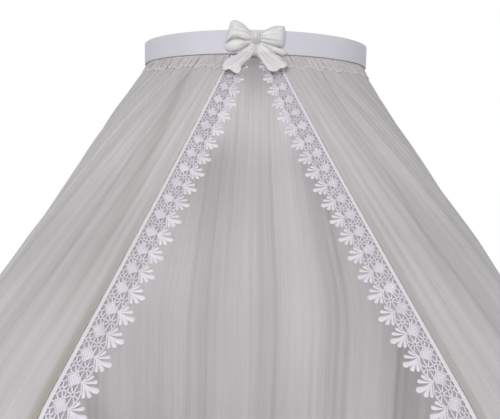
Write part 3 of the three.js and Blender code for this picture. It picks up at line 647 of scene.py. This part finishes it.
frills, frill_edges = {}, {}
for name, side in SIDES.items():
    seed = side["seed"]
    rise = waves(frill_shares, [(0.45, 6.7, 1.3 + seed), (0.35, 13.1, 0.2), (0.3, 21.3, 3.3 + seed)])
    shorter = 9.0 * rise + 17 * (1 - between(0, 1, frill_shares / 0.45))
    cut = 1 - shorter / FRILL_HEIGHT
    frill_lengths = FRILL_START + down * FRILL_HEIGHT
    grid = hang(front_row(side, frill_shares), frill_lengths, cut)
    ruffle = waves(frill_shares, [(0.5, 9.3, 0.5 + seed), (0.35, 15.9, 2.2 + seed), (0.15, 25.7, 4.0)])
    loose = (0.15 + 0.85 * between(0, 1, frill_shares / 0.25))[None, :]
    below = np.maximum(down * FRILL_HEIGHT + FRILL_START, 0)[:, None]
    puffed = FRILL_SEAT + loose * 5.6 * (1 - np.exp(-below / 1.3)) * (1 - down[:, None] ** 1.6)
    standoff = np.where(below > 0, puffed, FRILL_SEAT) + loose * down[:, None] ** 1.3 * 0.6 * ruffle[None, :]
    pleats = gathers(frill_shares[None, :], 0 * down[:, None], 29, seed + 0.4, 6.5, 100)
    standoff = standoff + loose * np.sin(math.pi * between(0, 1, below / FRILL_HEIGHT)) ** 0.6 * pleats
    under = front_folds(frill_shares, frill_lengths[:, None] * cut[None, :], side)
    grid += outward(grid) * (np.maximum(standoff, 2.8) + under)[..., None]
    uv = cloth_uv(frill_shares, FRILL_FLAT_WIDTH, down * FRILL_HEIGHT)
    verts, faces, uv = sheet_mesh(grid, FRILL_THICKNESS, uv)
    frills[name] = on_side("gathered_frill", name, verts, faces, LIGHTENED_FRILL_TULLE, uv)
    set_shade(frills[name], np.zeros(len(verts)))
    stitches = 1.05 + 0.15 * np.cos(TAU * 190 * frill_shares) + 0.3 * np.cos(TAU * 15.3 * frill_shares + seed) ** 8
    verts, faces = world_tube(grid[-1], stitches)
    frill_edges[name] = on_side("frill_edge", name, verts, faces, LACE)
    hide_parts(f"heading_frill_{name}")

# Frames along the seam that the binding and the lace follow

SEAM_STEP = 4.0
NUDGE = 1.0
LACE_FULL_WIDTH = 1.57 * LACE_REPEAT
LACE_TOP_WIDTH = 0.7
LACE_WIDENING = 170


def seam_frames(side):
    """Point, inward direction and normal at even lengths of the seam."""
    lengths = np.arange(-LACE_TAB, CLOTH_LENGTH + 2 * SEAM_STEP, SEAM_STEP)

    def row(drop):
        return np.array([section(drop, opening_at(drop, side) + out, [1.0])[0] for out in (0, NUDGE)])

    grid = hang(row, lengths, np.ones(2))
    point = grid[:, 0]
    down = unit(np.gradient(point, axis=0))
    inward = point - grid[:, 1]
    inward = unit(inward - down * np.sum(inward * down, axis=1, keepdims=True))
    return {"length": lengths, "point": point, "inward": inward, "normal": np.cross(down, inward)}


SEAMS = {name: seam_frames(side) for name, side in SIDES.items()}


def on_seam(local, seam):
    """World points of local ones: length along the seam, distance inward across it, and height off the cloth."""
    along, across, height = local.T

    def at(values):
        return np.stack([np.interp(along, seam["length"], values[:, k]) for k in range(3)], -1)

    width = between(LACE_TOP_WIDTH, 1, along / LACE_WIDENING)
    reach = np.where(across > 0, across * width, across)
    free = np.clip(across / LACE_FULL_WIDTH, 0, 1.2) ** 2
    ripple = free * (1.3 * np.sin(along / 61.0) + 0.9 * np.sin(along / 23.7 + 1.0))
    return at(seam["point"]) + at(seam["inward"]) * reach[:, None] + at(seam["normal"]) * (height + ripple)[:, None]


# Binding: a domed ribbon along the outer edge of the lace
ribbon_across = np.linspace(-BINDING_WIDTH, BINDING_LAP, 9)
ribbon_dome = 1.5 * np.sqrt(1 - np.linspace(-1, 1, 9) ** 2)
ribbon_lengths = np.arange(-LACE_TAB, CLOTH_LENGTH, 6.0)
for name, seam in SEAMS.items():
    a, c = np.meshgrid(ribbon_lengths, ribbon_across, indexing="ij")
    heights = [np.broadcast_to(height, a.shape) for height in (0.2 + ribbon_dome, -0.2 - 0.5 * ribbon_dome)]
    front, back = (on_seam(np.stack([a, c, height], -1).reshape(-1, 3), seam) for height in heights)
    verts, faces = shell(front, back, *a.shape)
    uv = np.concatenate([np.stack([a.ravel() * MM, c.ravel() * MM], -1)] * 2)
    on_side("binding_ribbon", name, verts, faces, RIBBON, uv)
    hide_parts(f"binding_{name}")

# Guipure lace. One repeat is drawn in shares of the repeat: u along the seam and v across it, from the rib.

ROOT = (0.48, 0.83)
ARC_LOW = 0.785
ARC_SWELL = 0.18
# Woven diamond: corners towards the rib, up the seam, towards the palmette and down the seam
DIAMOND = [(0.33, 0.12), (0.13, 0.425), (0.46, 0.785), (0.725, 0.43)]
SPIDER = (0.962, 0.692)
SPIDER_RADIUS = 0.075
LOZENGE = {"a": (0.757, 0.18), "b": (0.852, 0.092), "c": (0.954, 0.154), "d": (0.943, 0.247), "e": (0.896, 0.287),
           "f": (0.828, 0.257)}
FORK_LOW, FORK_HIGH, CROSSING = (0.605, 0.12), (1.078, 0.107), (0.914, 0.42)
THREADS = [
    [(0.36, 0.0), (0.335, 0.13)],
    [(0.6, 0.0), FORK_LOW, (0.51, 0.23)],
    [FORK_LOW, LOZENGE["a"]],
    [(0.84, 0.0), LOZENGE["b"]],
    [LOZENGE[k] for k in "abcdefa"],
    [LOZENGE["c"], FORK_HIGH, (1.2, 0.22)],
    [(1.1, 0.0), FORK_HIGH],
    [LOZENGE["f"], (0.66, 0.35)],
    [LOZENGE["e"], CROSSING],
    [LOZENGE["d"], (1.125, 0.36)],
    [(0.7, 0.435), CROSSING, (1.13, 0.425)],
]
SPOKES = [(0.672, 0.475), CROSSING, (1.13, 0.475), (1.345, 0.66)]
ARC_SPOKES = [1.25, 1.05, 0.76]
LAST_SPOKE = (0.55, 0.7)
PETALS = [
    ([(0.45, 0.84), (0.4, 0.9), (0.3, 1.01), (0.2, 1.075)], 0.072),
    ([(0.47, 0.85), (0.445, 1.0), (0.39, 1.17), (0.335, 1.295)], 0.086),
    ([(0.49, 0.86), (0.57, 1.07), (0.615, 1.25), (0.622, 1.475)], 0.125),
    ([(0.51, 0.85), (0.585, 1.0), (0.735, 1.18), (0.85, 1.315)], 0.094),
    ([(0.51, 0.84), (0.58, 0.925), (0.75, 1.035), (0.93, 1.11)], 0.076),
]
BARS = [(0.67, 0.685, 0.96), (0.83, 0.845, 1.04), (0.36, 0.38, 0.93), (0.215, 0.235, 1.03)]


def arc_at(u):
    """Distance across of the scallop braid."""
    return ARC_LOW + ARC_SWELL * np.sin(math.pi * ((u - ROOT[0]) % 1))


def catmull(p0, p1, p2, p3, f):
    """Points between p1 and p2 on the smooth curve through all four."""
    return 0.5 * (2 * p1 + (p2 - p0) * f + (2 * p0 - 5 * p1 + 4 * p2 - p3) * f**2 + (3 * p1 - p0 - 3 * p2 + p3) * f**3)


def curve_through(points, count):
    """Even samples of a smooth open curve through the points."""
    points = np.asarray(points, float)
    points = np.concatenate([[2 * points[0] - points[1]], points, [2 * points[-1] - points[-2]]])
    t = np.linspace(0, len(points) - 3, count)
    k = np.minimum(t.astype(int), len(points) - 4)
    f = (t - k)[:, None]
    return catmull(*(points[k + ahead] for ahead in range(4)), f)


def lace_repeat():
    """Cords of one repeat in local millimetres."""
    cords = Cords()
    thread, flatness = 1.35, 0.6

    def flat(points, height=0.0):
        points = np.asarray(points, float)
        return np.column_stack([points * LACE_REPEAT, np.broadcast_to(height, len(points))])

    def knot(place):
        cords.blob([place[0] * LACE_REPEAT, place[1] * LACE_REPEAT, 0], 1.5, 0.62)

    def strand(start, end, flare):
        widths = [thread + flare, thread, thread + flare]
        cords.add(flat([start, np.add(start, end) / 2, end]), widths, flatness)

    for line in THREADS:
        for start, end in zip(line, line[1:]):
            strand(start, end, 0.2)
        for place in line:
            knot(place)
    centre = np.array(SPIDER)
    feet = [*SPOKES, *[(u, float(arc_at(np.float64(u)))) for u in ARC_SPOKES], LAST_SPOKE]
    for foot in feet:
        away = np.array(foot) - centre
        strand(centre + away / np.linalg.norm(away) * SPIDER_RADIUS, foot, 0.25)
        knot(foot)
    angle = np.linspace(0, TAU, 19)
    ring = centre + SPIDER_RADIUS * np.stack([np.cos(angle), np.sin(angle)], -1)
    cords.add(flat(ring, 0.2), 1.05, 0.7, capped=False)
    u = np.linspace(ROOT[0], ROOT[0] + 1, 27)
    braid = ARC_LOW + ARC_SWELL * np.sin(math.pi * (u - ROOT[0]))
    cords.add(flat(np.stack([u, braid], -1), 0.3), 1.3, 0.7)
    # Woven diamond on a thin ground
    rib, high, inner, low = (np.array(corner) for corner in DIAMOND)
    for first, second, third, fourth, phase in ((rib, high, low, inner, 0), (rib, low, high, inner, 1)):
        for k in range(6):
            start, end = first + (second - first) * k / 5, third + (fourth - third) * k / 5
            t = np.linspace(-0.03, 1.03, 17)
            over = 0.16 * np.cos(math.pi * (t * 5 + k + phase))
            cords.add(flat(start + (end - start) * t[:, None], 0.35 + over), 1.0, 0.42, 5)
    t = np.linspace(0.04, 0.96, 7)[:, None]
    spine = (rib + high) / 2 * (1 - t) + (low + inner) / 2 * t
    breadth = np.linalg.norm(high - rib) * (1 - t[:, 0]) + np.linalg.norm(inner - low) * t[:, 0]
    cords.add(flat(spine, 0.1), 0.48 * breadth * LACE_REPEAT, 0.14, 8)
    for path, half in PETALS:
        body = curve_through(path, 12)
        tip = body[-1] - body[-2]
        tip /= np.linalg.norm(tip)
        turn = np.radians([22, 42, 58, 72, 84])
        cap = body[-1] + np.outer(np.sin(turn), tip) * half
        share = np.linspace(0, 1, 12)
        width = np.concatenate([0.16 + 0.84 * share**1.15, np.cos(turn)]) * half * LACE_REPEAT
        height = np.minimum(0.35 * width + 0.3, 1.35)
        lift = np.concatenate([0.3 + 0.35 * np.sin(math.pi * share / 2), np.full(5, 0.65)])
        cords.add(flat(np.concatenate([body, cap]), lift), width, height, 10)
    for u, v_u, v in BARS:
        start = (u, float(arc_at(np.float64(u))))
        cords.add(flat([start, ((u + v_u) / 2, (start[1] + v) / 2), (v_u, v)], 0.1), 0.6, 0.5)
    cords.blob([ROOT[0] * LACE_REPEAT, ROOT[1] * LACE_REPEAT, 0.4], 1.6, 0.9, 9)
    return cords.arrays()


cell_verts, cell_quads, cell_tris = lace_repeat()
# The lining's net is darker than the panels': painted shade under the lace.
SHADED_LINING = tulle("tulle_lining_shaded", srgb(192, 189, 192), srgb(207, 204, 207), 0.3, 90)
lining_along = np.arange(-LACE_TAB, CLOTH_LENGTH, 4.0)
laces, linings = {}, {}
for name, seam in SEAMS.items():
    lead = SIDES[name]["lead"]
    starts = lead + np.arange(-1, LACE_COUNT + 1) * LACE_REPEAT
    local = (cell_verts[None] + np.stack([starts, 0 * starts, 0 * starts], -1)[:, None]).reshape(-1, 3)
    outside = (local[:, 0] < -LACE_TAB) | (local[:, 0] > CLOTH_LENGTH)
    local[:, 0] = np.clip(local[:, 0], -LACE_TAB, CLOTH_LENGTH)
    shifts = (np.arange(len(starts)) * len(cell_verts))[:, None, None]
    blocks = [(cell_quads[None] + shifts).reshape(-1, 4), (cell_tris[None] + shifts).reshape(-1, 3)]
    blocks = [block[~outside[block].all(axis=1)] for block in blocks]
    used = np.unique(np.concatenate([block.ravel() for block in blocks]))
    order = np.zeros(len(local), int)
    order[used] = np.arange(len(used))
    laces[name] = on_side("guipure_lace", name, on_seam(local[used], seam), [order[b] for b in blocks], LACE)
    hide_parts(f"lace_trim_{name}")
    # Tulle that lines the lace as far as its scallop braid. Its net is darker than the panels' to paint the shade
    # under the lace.
    a, c = np.meshgrid(lining_along, np.linspace(0, 1, 12), indexing="ij")
    reach = arc_at((a - lead) / LACE_REPEAT) * LACE_REPEAT
    flat_lining = np.stack([a, 0.5 + c * (reach - 0.8), np.full(a.shape, -1.3)], -1)
    grid = on_seam(flat_lining.reshape(-1, 3), seam).reshape(*a.shape, 3)
    verts, faces, uv = sheet_mesh(grid, LINING_THICKNESS, np.stack([c * 0.04, a * MM], -1))
    linings[name] = on_side("lace_lining", name, verts, faces, SHADED_LINING, uv)
    set_shade(linings[name], np.zeros(len(verts)))

# Crown band: the bent half-oval fascia with rounded edges


def half_oval(inset, count):
    angle = np.linspace(0, math.pi, count)
    return np.stack([-(CROWN_HALF_WIDTH - inset) * np.cos(angle), -(CROWN_DEPTH - inset) * np.sin(angle)], -1)


ROUND = 1.3
profile = []
for corner_in, corner_z, start in (
    (ROUND, BAND_BOTTOM + ROUND, -math.pi / 2),
    (ROUND, BAND_TOP - ROUND, 0),
    (BAND_THICKNESS - ROUND, BAND_TOP - ROUND, math.pi / 2),
    (BAND_THICKNESS - ROUND, BAND_BOTTOM + ROUND, math.pi),
):
    for t in np.linspace(0, math.pi / 2, 5):
        profile.append((corner_in - ROUND * math.cos(start + t), corner_z + ROUND * math.sin(start + t)))
BAND_SEGMENTS = 220
profile = np.array(profile)
extra = np.linspace(BAND_BOTTOM + ROUND, BAND_TOP - ROUND, 9)[1:-1]
profile = np.concatenate([profile[:5], np.column_stack([np.zeros(7), extra]), profile[5:]])
verts = np.concatenate([np.column_stack([half_oval(i, BAND_SEGMENTS), np.full(BAND_SEGMENTS, z)]) for i, z in profile])
m = len(profile)
ring = np.arange(m)
s, k = np.meshgrid(ring, np.arange(BAND_SEGMENTS - 1), indexing="ij")
a = s * BAND_SEGMENTS + k
b = ((s + 1) % m) * BAND_SEGMENTS + k
quads = np.stack([a, a + 1, b + 1, b], -1).reshape(-1, 4)
ends = np.arange(1, m - 1) * BAND_SEGMENTS
cap = np.stack([0 * ends, ends, ends + BAND_SEGMENTS], -1)
caps = np.concatenate([cap, cap[:, [0, 2, 1]] + BAND_SEGMENTS - 1])
band = make_piece("crown_band", verts, [quads, caps], PAINT)
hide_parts("crown_fascia")

# Cast bow, from rounded pads on smooth outlines. Outline points are shares of the bow's reach.

LEFT_LOOP = [(-0.1, 0.3), (-0.33, 0.57), (-0.5, 0.68), (-0.68, 0.745), (-0.79, 0.7), (-0.85, 0.57), (-0.9, 0.38),
             (-0.95, 0.16), (-0.99, 0.02), (-0.88, 0.09), (-0.72, 0.14), (-0.5, 0.12), (-0.3, 0.05), (-0.1, 0.08)]
LEFT_FOLD = [(-0.08, 0.1), (-0.3, 0.13), (-0.52, 0.2), (-0.72, 0.2), (-0.9, 0.12), (-1, -0.04), (-0.97, -0.14),
             (-0.87, -0.21), (-0.7, -0.235), (-0.52, -0.18), (-0.36, -0.08), (-0.2, 0), (-0.08, 0.04)]
RIGHT_LOOP = [(0.1, 0.34), (0.29, 0.45), (0.46, 0.545), (0.64, 0.585), (0.86, 0.59), (0.91, 0.53), (0.92, 0.34),
              (0.9, 0.14), (0.87, -0.03), (0.69, -0.07), (0.43, -0.06), (0.24, 0), (0.1, 0.08)]
RIGHT_FOLD = [(0.1, 0.06), (0.3, 0), (0.55, -0.03), (0.78, -0.1), (0.98, -0.2), (0.98, -0.27), (0.86, -0.33),
              (0.74, -0.31), (0.57, -0.245), (0.4, -0.15), (0.22, -0.05), (0.08, 0.02)]
LEFT_TAIL = [(0, 0.1), (-0.02, -0.17), (-0.09, -0.31), (-0.19, -0.47), (-0.33, -0.62), (-0.42, -0.76), (-0.45, -0.94),
             (-0.53, -1.02), (-0.64, -0.99), (-0.73, -0.92), (-0.82, -0.865), (-0.9, -0.9), (-1, -0.87), (-1, -0.7),
             (-0.95, -0.55), (-0.8, -0.42), (-0.6, -0.32), (-0.42, -0.17), (-0.25, -0.05), (-0.12, 0.06)]
RIGHT_TAIL = [(0, 0.1), (0.03, -0.24), (0.13, -0.47), (0.26, -0.69), (0.39, -0.88), (0.53, -0.93), (0.67, -0.9),
              (0.76, -0.81), (0.88, -0.79), (0.99, -0.68), (0.97, -0.61), (0.84, -0.51), (0.76, -0.35), (0.6, -0.28),
              (0.43, -0.16), (0.26, -0.03), (0.12, 0.06)]
KNOT = [(-0.15, 0.36), (0, 0.395), (0.13, 0.36), (0.145, 0.2), (0.13, 0.06), (0, 0.03), (-0.15, 0.06), (-0.16, 0.2)]
TAIL_LEAN = 1.06
TAIL_START = 4.0


def smooth_outline(points, count):
    """A closed curve through the points."""
    points = np.array(points)
    n = len(points)
    t = np.arange(count) * n / count
    k = t.astype(int)
    f = (t - k)[:, None]
    return catmull(*(points[(k + ahead) % n] for ahead in (-1, 0, 1, 2)), f)


def band_front(x):
    """y of the band's outer face at x."""
    return -CROWN_DEPTH * np.sqrt(1 - np.clip(x / CROWN_HALF_WIDTH, -1, 1) ** 2)


def pad(points, rise, leaning, creases, edge_power=2.4, rows=26, columns=120):
    """A closed pad: flat against the band, with a rounded and creased front."""
    outline = smooth_outline(points, columns) * BOW_REACH
    centre = outline.mean(axis=0)
    size = np.linspace(1, 0.02, rows)
    flat = centre + (outline - centre)[None] * size[:, None, None]
    x, z = flat[..., 0], flat[..., 1]
    height = rise * (1 - size**edge_power) ** 0.55
    height = np.broadcast_to(height[:, None], x.shape).copy()
    height += creases(x / BOW_REACH, z / BOW_REACH) * np.clip((1 - size) * 6, 0, 1)[:, None]
    wall = base = band_front(x)
    if leaning:
        base = wall - np.maximum(0, BAND_BOTTOM + TAIL_START - z) * TAIL_LEAN
    front = np.stack([x, base - 0.6 - np.maximum(height, 0), z], -1).reshape(-1, 3)
    back_y = np.minimum(base + 4 if leaning else wall - 0.5, wall - 0.4)
    back = np.stack([x, back_y, z], -1).reshape(-1, 3)
    n = rows * columns
    k = np.arange(columns)
    nxt = (k + 1) % columns
    rings = tube_faces(rows, columns)[0].reshape(rows - 1, columns, 4)
    quads = np.stack([rings, rings[..., [0, 3, 2, 1]] + n], 1).reshape(-1, 4)
    quads = np.concatenate([quads, np.stack([k, k + n, nxt + n, nxt], -1)])
    last = (rows - 1) * columns
    tip_front = front[last : last + columns].mean(axis=0)
    tip_back = back[last : last + columns].mean(axis=0)
    verts = np.concatenate([front, back, [tip_front], [tip_back]])
    tris = [
        np.stack([last + k, last + nxt, np.full(columns, 2 * n)], -1),
        np.stack([n + last + nxt, n + last + k, np.full(columns, 2 * n + 1)], -1),
    ]
    return verts, quads, np.concatenate(tris)


def fan(x, z, origin, count, phase, depth, fade):
    """Creases that fan out from the knot and fade with distance."""
    dx, dz = x - origin[0], z - origin[1]
    far = np.hypot(dx, dz)
    angle = np.arctan2(dz, np.abs(dx))
    return depth * np.cos(count * angle + phase) * np.exp(-far / fade)


def tail_lines(x, z, lean, count, phase, depth):
    """Creases that run down a tail."""
    turn = (x - lean * (z - 0.1)) / (0.16 + 0.35 * np.clip(0.1 - z, 0, 1))
    return depth * np.cos(count * turn + phase) * np.clip((0.15 - z) * 3, 0, 1)


def left_tail_lines(x, z):
    return tail_lines(x, z, 0.66, 4.6, 0.4, 1.5) - 1.2 * (z < -0.72) * (-0.72 - z) * 4


def bow_mesh():
    parts = [
        pad(LEFT_TAIL, 9.0, True, left_tail_lines),
        pad(RIGHT_TAIL, 9.0, True, lambda x, z: tail_lines(x, z, -0.66, 4.6, 2.2, 1.5)),
        pad(LEFT_FOLD, 15.5, False, lambda x, z: fan(x, z, (0, 0.12), 9, 0.5, 2.0, 0.5), 2.0),
        pad(RIGHT_FOLD, 13.5, False, lambda x, z: fan(x, z, (0, 0.1), 12, 2.0, 1.8, 0.6), 2.0),
        pad(LEFT_LOOP, 23.0, False, lambda x, z: fan(x, z, (0, 0.2), 9, 1.2, 3.4, 0.42), 2.8),
        pad(RIGHT_LOOP, 22.0, False, lambda x, z: fan(x, z, (0, 0.2), 10, 0.2, 3.4, 0.42), 2.8),
        pad(KNOT, 27.0, False, lambda x, z: 1.6 * np.cos(34 * x + 3 * z), 3.2, 16, 60),
    ]
    verts, faces, start = [], [], 0
    for v, quads, tris in parts:
        verts.append(v)
        faces += [quads + start, tris + start]
        start += len(v)
    return np.concatenate(verts), faces


def read_vectors(items, key):
    values = np.empty(len(items) * 3, np.float32)
    items.foreach_get(key, values)
    return values.reshape(-1, 3).astype(float)


BOW_VOXEL = 0.0009
verts, faces = bow_mesh()
bow = make_piece("cast_bow", verts, faces, RESIN)
remesh = bow.modifiers.new("join", "REMESH")
remesh.mode = "VOXEL"
remesh.voxel_size = BOW_VOXEL
settle = bow.modifiers.new("settle", "SMOOTH")
settle.factor = 0.5
settle.iterations = 4
joined = bpy.data.meshes.new_from_object(bow.evaluated_get(bpy.context.evaluated_depsgraph_get()))
bow.modifiers.clear()
bow.data = joined
points = read_vectors(joined.vertices, "co")
normals = read_vectors(joined.vertex_normals, "vector")

# Sharp fold lines pressed into the joined bow: each is a polyline in shares of the reach, with its depth and its
# half width in millimetres
FOLD_LINES = [
    ([(-0.12, 0.3), (-0.3, 0.42), (-0.5, 0.5), (-0.66, 0.56)], 1.3, 1.5),
    ([(-0.12, 0.24), (-0.34, 0.32), (-0.6, 0.36), (-0.8, 0.36)], 1.0, 1.4),
    ([(-0.12, 0.18), (-0.36, 0.2), (-0.62, 0.22)], 1.2, 1.4),
    ([(-0.1, 0.1), (-0.34, 0.08), (-0.56, 0.15), (-0.8, 0.12), (-0.97, 0.0)], 2.0, 1.6),
    ([(0.13, 0.3), (0.32, 0.4), (0.52, 0.46), (0.7, 0.5)], 1.2, 1.5),
    ([(0.13, 0.22), (0.36, 0.25), (0.6, 0.27), (0.84, 0.3)], 1.0, 1.4),
    ([(0.13, 0.14), (0.36, 0.1), (0.58, 0.08), (0.82, 0.06)], 1.1, 1.4),
    ([(0.12, 0.07), (0.34, 0.0), (0.56, -0.05), (0.76, -0.08), (0.9, -0.12)], 2.0, 1.5),
    ([(-0.05, 0.02), (-0.2, -0.18), (-0.42, -0.4), (-0.66, -0.62), (-0.8, -0.8)], 1.2, 1.5),
    ([(-0.03, 0.0), (-0.14, -0.26), (-0.32, -0.52), (-0.5, -0.78), (-0.56, -0.95)], 1.0, 1.4),
    ([(0.05, 0.02), (0.22, -0.2), (0.42, -0.4), (0.64, -0.58), (0.82, -0.7)], 1.2, 1.5),
    ([(0.04, 0.0), (0.16, -0.28), (0.32, -0.52), (0.48, -0.74), (0.56, -0.86)], 1.0, 1.4),
    ([(-0.05, 0.36), (-0.06, 0.22), (-0.05, 0.05)], 1.2, 1.2),
    ([(0.05, 0.37), (0.06, 0.22), (0.05, 0.05)], 1.2, 1.2),
]
crease_shade = np.zeros(len(points))
press = np.zeros(len(points))
flat_points = points[:, [0, 2]] / MM
facing = np.clip(-normals[:, 1] * 2, 0, 1)
for line, depth, width in FOLD_LINES:
    line = np.array(line) * BOW_REACH
    run = np.concatenate([[0], np.cumsum(np.linalg.norm(np.diff(line, axis=0), axis=1))])
    t = np.linspace(0, run[-1], 60)
    path = np.column_stack([np.interp(t, run, line[:, 0]), np.interp(t, run, line[:, 1])])
    gap = np.sqrt(((flat_points[:, None, :] - path[None]) ** 2).sum(-1))
    nearest = gap.argmin(1)
    strength = np.sin(math.pi * np.clip(nearest / 59 * 0.92 + 0.08, 0, 1)) ** 0.5
    groove = np.exp(-((gap.min(1) / width) ** 2)) * strength
    press += depth * groove
    crease_shade = np.maximum(crease_shade, groove * min(depth / 1.6, 1))
points -= normals * (press * facing)[:, None] * MM
joined.vertices.foreach_set("co", points.astype(np.float32).ravel())
# The grooves also carry painted shade: the resin material darkens where this attribute is high.
set_shade(bow, crease_shade * facing * 0.6, "crease_shade")
joined.polygons.foreach_set("use_smooth", np.ones(len(joined.polygons), bool))
joined.update()
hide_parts("bow_casting")

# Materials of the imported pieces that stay
KEPT = {
    "crown_board": BOARD,
    "back_rail": RAIL,
    "glue_block": RAIL,
    "keyhole_plate": STEEL,
    "plate_screw": STEEL,
    "rail_screw": STEEL,
    "bow_screw": STEEL,
    "hook_tape": TAPE,
    "heading_tape": TAPE,
}
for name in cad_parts:
    material = next((m for start, m in KEPT.items() if name.startswith(start)), None)
    if material is not None:
        packed = bpy.data.objects[name]
        packed.data.materials.clear()
        packed.data.materials.append(material)

# Floor, lights and camera
floor_mesh = bpy.data.meshes.new("floor")
FLOOR_Z = -1.62
FLOOR_HALF = 2.4
FLOOR_FRONT, FLOOR_BACK = -3.2, 1.6
outline = ((-1, FLOOR_FRONT), (1, FLOOR_FRONT), (1, FLOOR_BACK), (-1, FLOOR_BACK))
corners = [(x * FLOOR_HALF, y, FLOOR_Z) for x, y in outline]
floor_mesh.from_pydata(corners, [], [(0, 1, 2, 3)])
floor = bpy.data.objects.new("floor", floor_mesh)
bpy.context.collection.objects.link(floor)
pale = new_look("pale_floor")
pale.surface(pale.ramp(pale.noise(pale.coords(), 3), grey(0.86), grey(0.9)), 0.9)
floor_mesh.materials.append(pale.owner)

world = bpy.data.worlds.new("studio")
bpy.context.scene.world = world
AMBIENT = 0.465
sky = Look(world)
sky.nodes.clear()
seen = 0.0
for kind in ("Camera", "Transmission", "Glossy"):
    seen = sky.math("MAXIMUM", seen, sky.make("ShaderNodeLightPath", f"Is {kind} Ray"))
level = sky.make("ShaderNodeMapRange", "Result", Value=seen, To_Min=AMBIENT, To_Max=1.0)
glow = sky.make("ShaderNodeBackground", "Background", Color=(1, 1, 1, 1), Strength=level)
sky.fill(sky.nodes.new("ShaderNodeOutputWorld"), {"Surface": glow})


def area_light(name, place, target, size, watts):
    data = bpy.data.lights.new(name, "AREA")
    data.shape = "RECTANGLE"
    data.size, data.size_y = size
    data.energy = watts
    lamp = bpy.data.objects.new(name, data)
    lamp.location = place
    lamp.rotation_euler = (Vector(target) - Vector(place)).to_track_quat("-Z", "Y").to_euler()
    lamp.visible_camera = False
    bpy.context.collection.objects.link(lamp)


area_light("key", (-1.1, -4.4, 1.4), (0, -0.3, -0.4), (2.4, 2.0), 114)
area_light("fill", (2.6, -3.2, 0.2), (0, -0.3, -0.5), (2.0, 2.0), 13)
# Lamps behind the front panels stand in for the light that real net lets through.
# Each has its x, y and z, how far out it aims, and its power on the left and on the right.
INSIDE_LAMPS = [
    (0.13, -0.14, -0.11, 0.2, 0.19, 0.12),
    (0.3, -0.4, -0.47, 0.8, 0.8, 0.27),
    (0.36, -0.52, -0.9, 0.8, 1.05, 0.36),
]
for k, (x, y, z, aim, *powers) in enumerate(INSIDE_LAMPS):
    for side, watts in zip((-1, 1), powers):
        area_light(f"inside_{k}_{side}", (side * x, y, z), (side * x * aim, 0, z - 0.06), (0.12, 0.12), watts)

CAMERA_PLACE = (-0.005, -1.407, -0.255)
PITCH, YAW, ROLL = 0.109, -0.0015, 0.0185
camera_data = bpy.data.cameras.new("camera")
camera_data.sensor_width = 36
camera_data.lens = 36
camera = bpy.data.objects.new("camera", camera_data)
bpy.context.collection.objects.link(camera)
forward = Vector((math.sin(YAW) * math.cos(PITCH), math.cos(YAW) * math.cos(PITCH), -math.sin(PITCH)))
right = forward.cross(Vector((0, 0, 1))).normalized()
up = right.cross(forward)
across = right * math.cos(ROLL) + up * math.sin(ROLL)
upward = up * math.cos(ROLL) - right * math.sin(ROLL)
turn = Matrix((across, upward, -forward)).transposed().to_4x4()
camera.matrix_world = Matrix.Translation(CAMERA_PLACE) @ turn
bpy.context.scene.camera = camera
bpy.context.scene.view_settings.view_transform = "Standard"
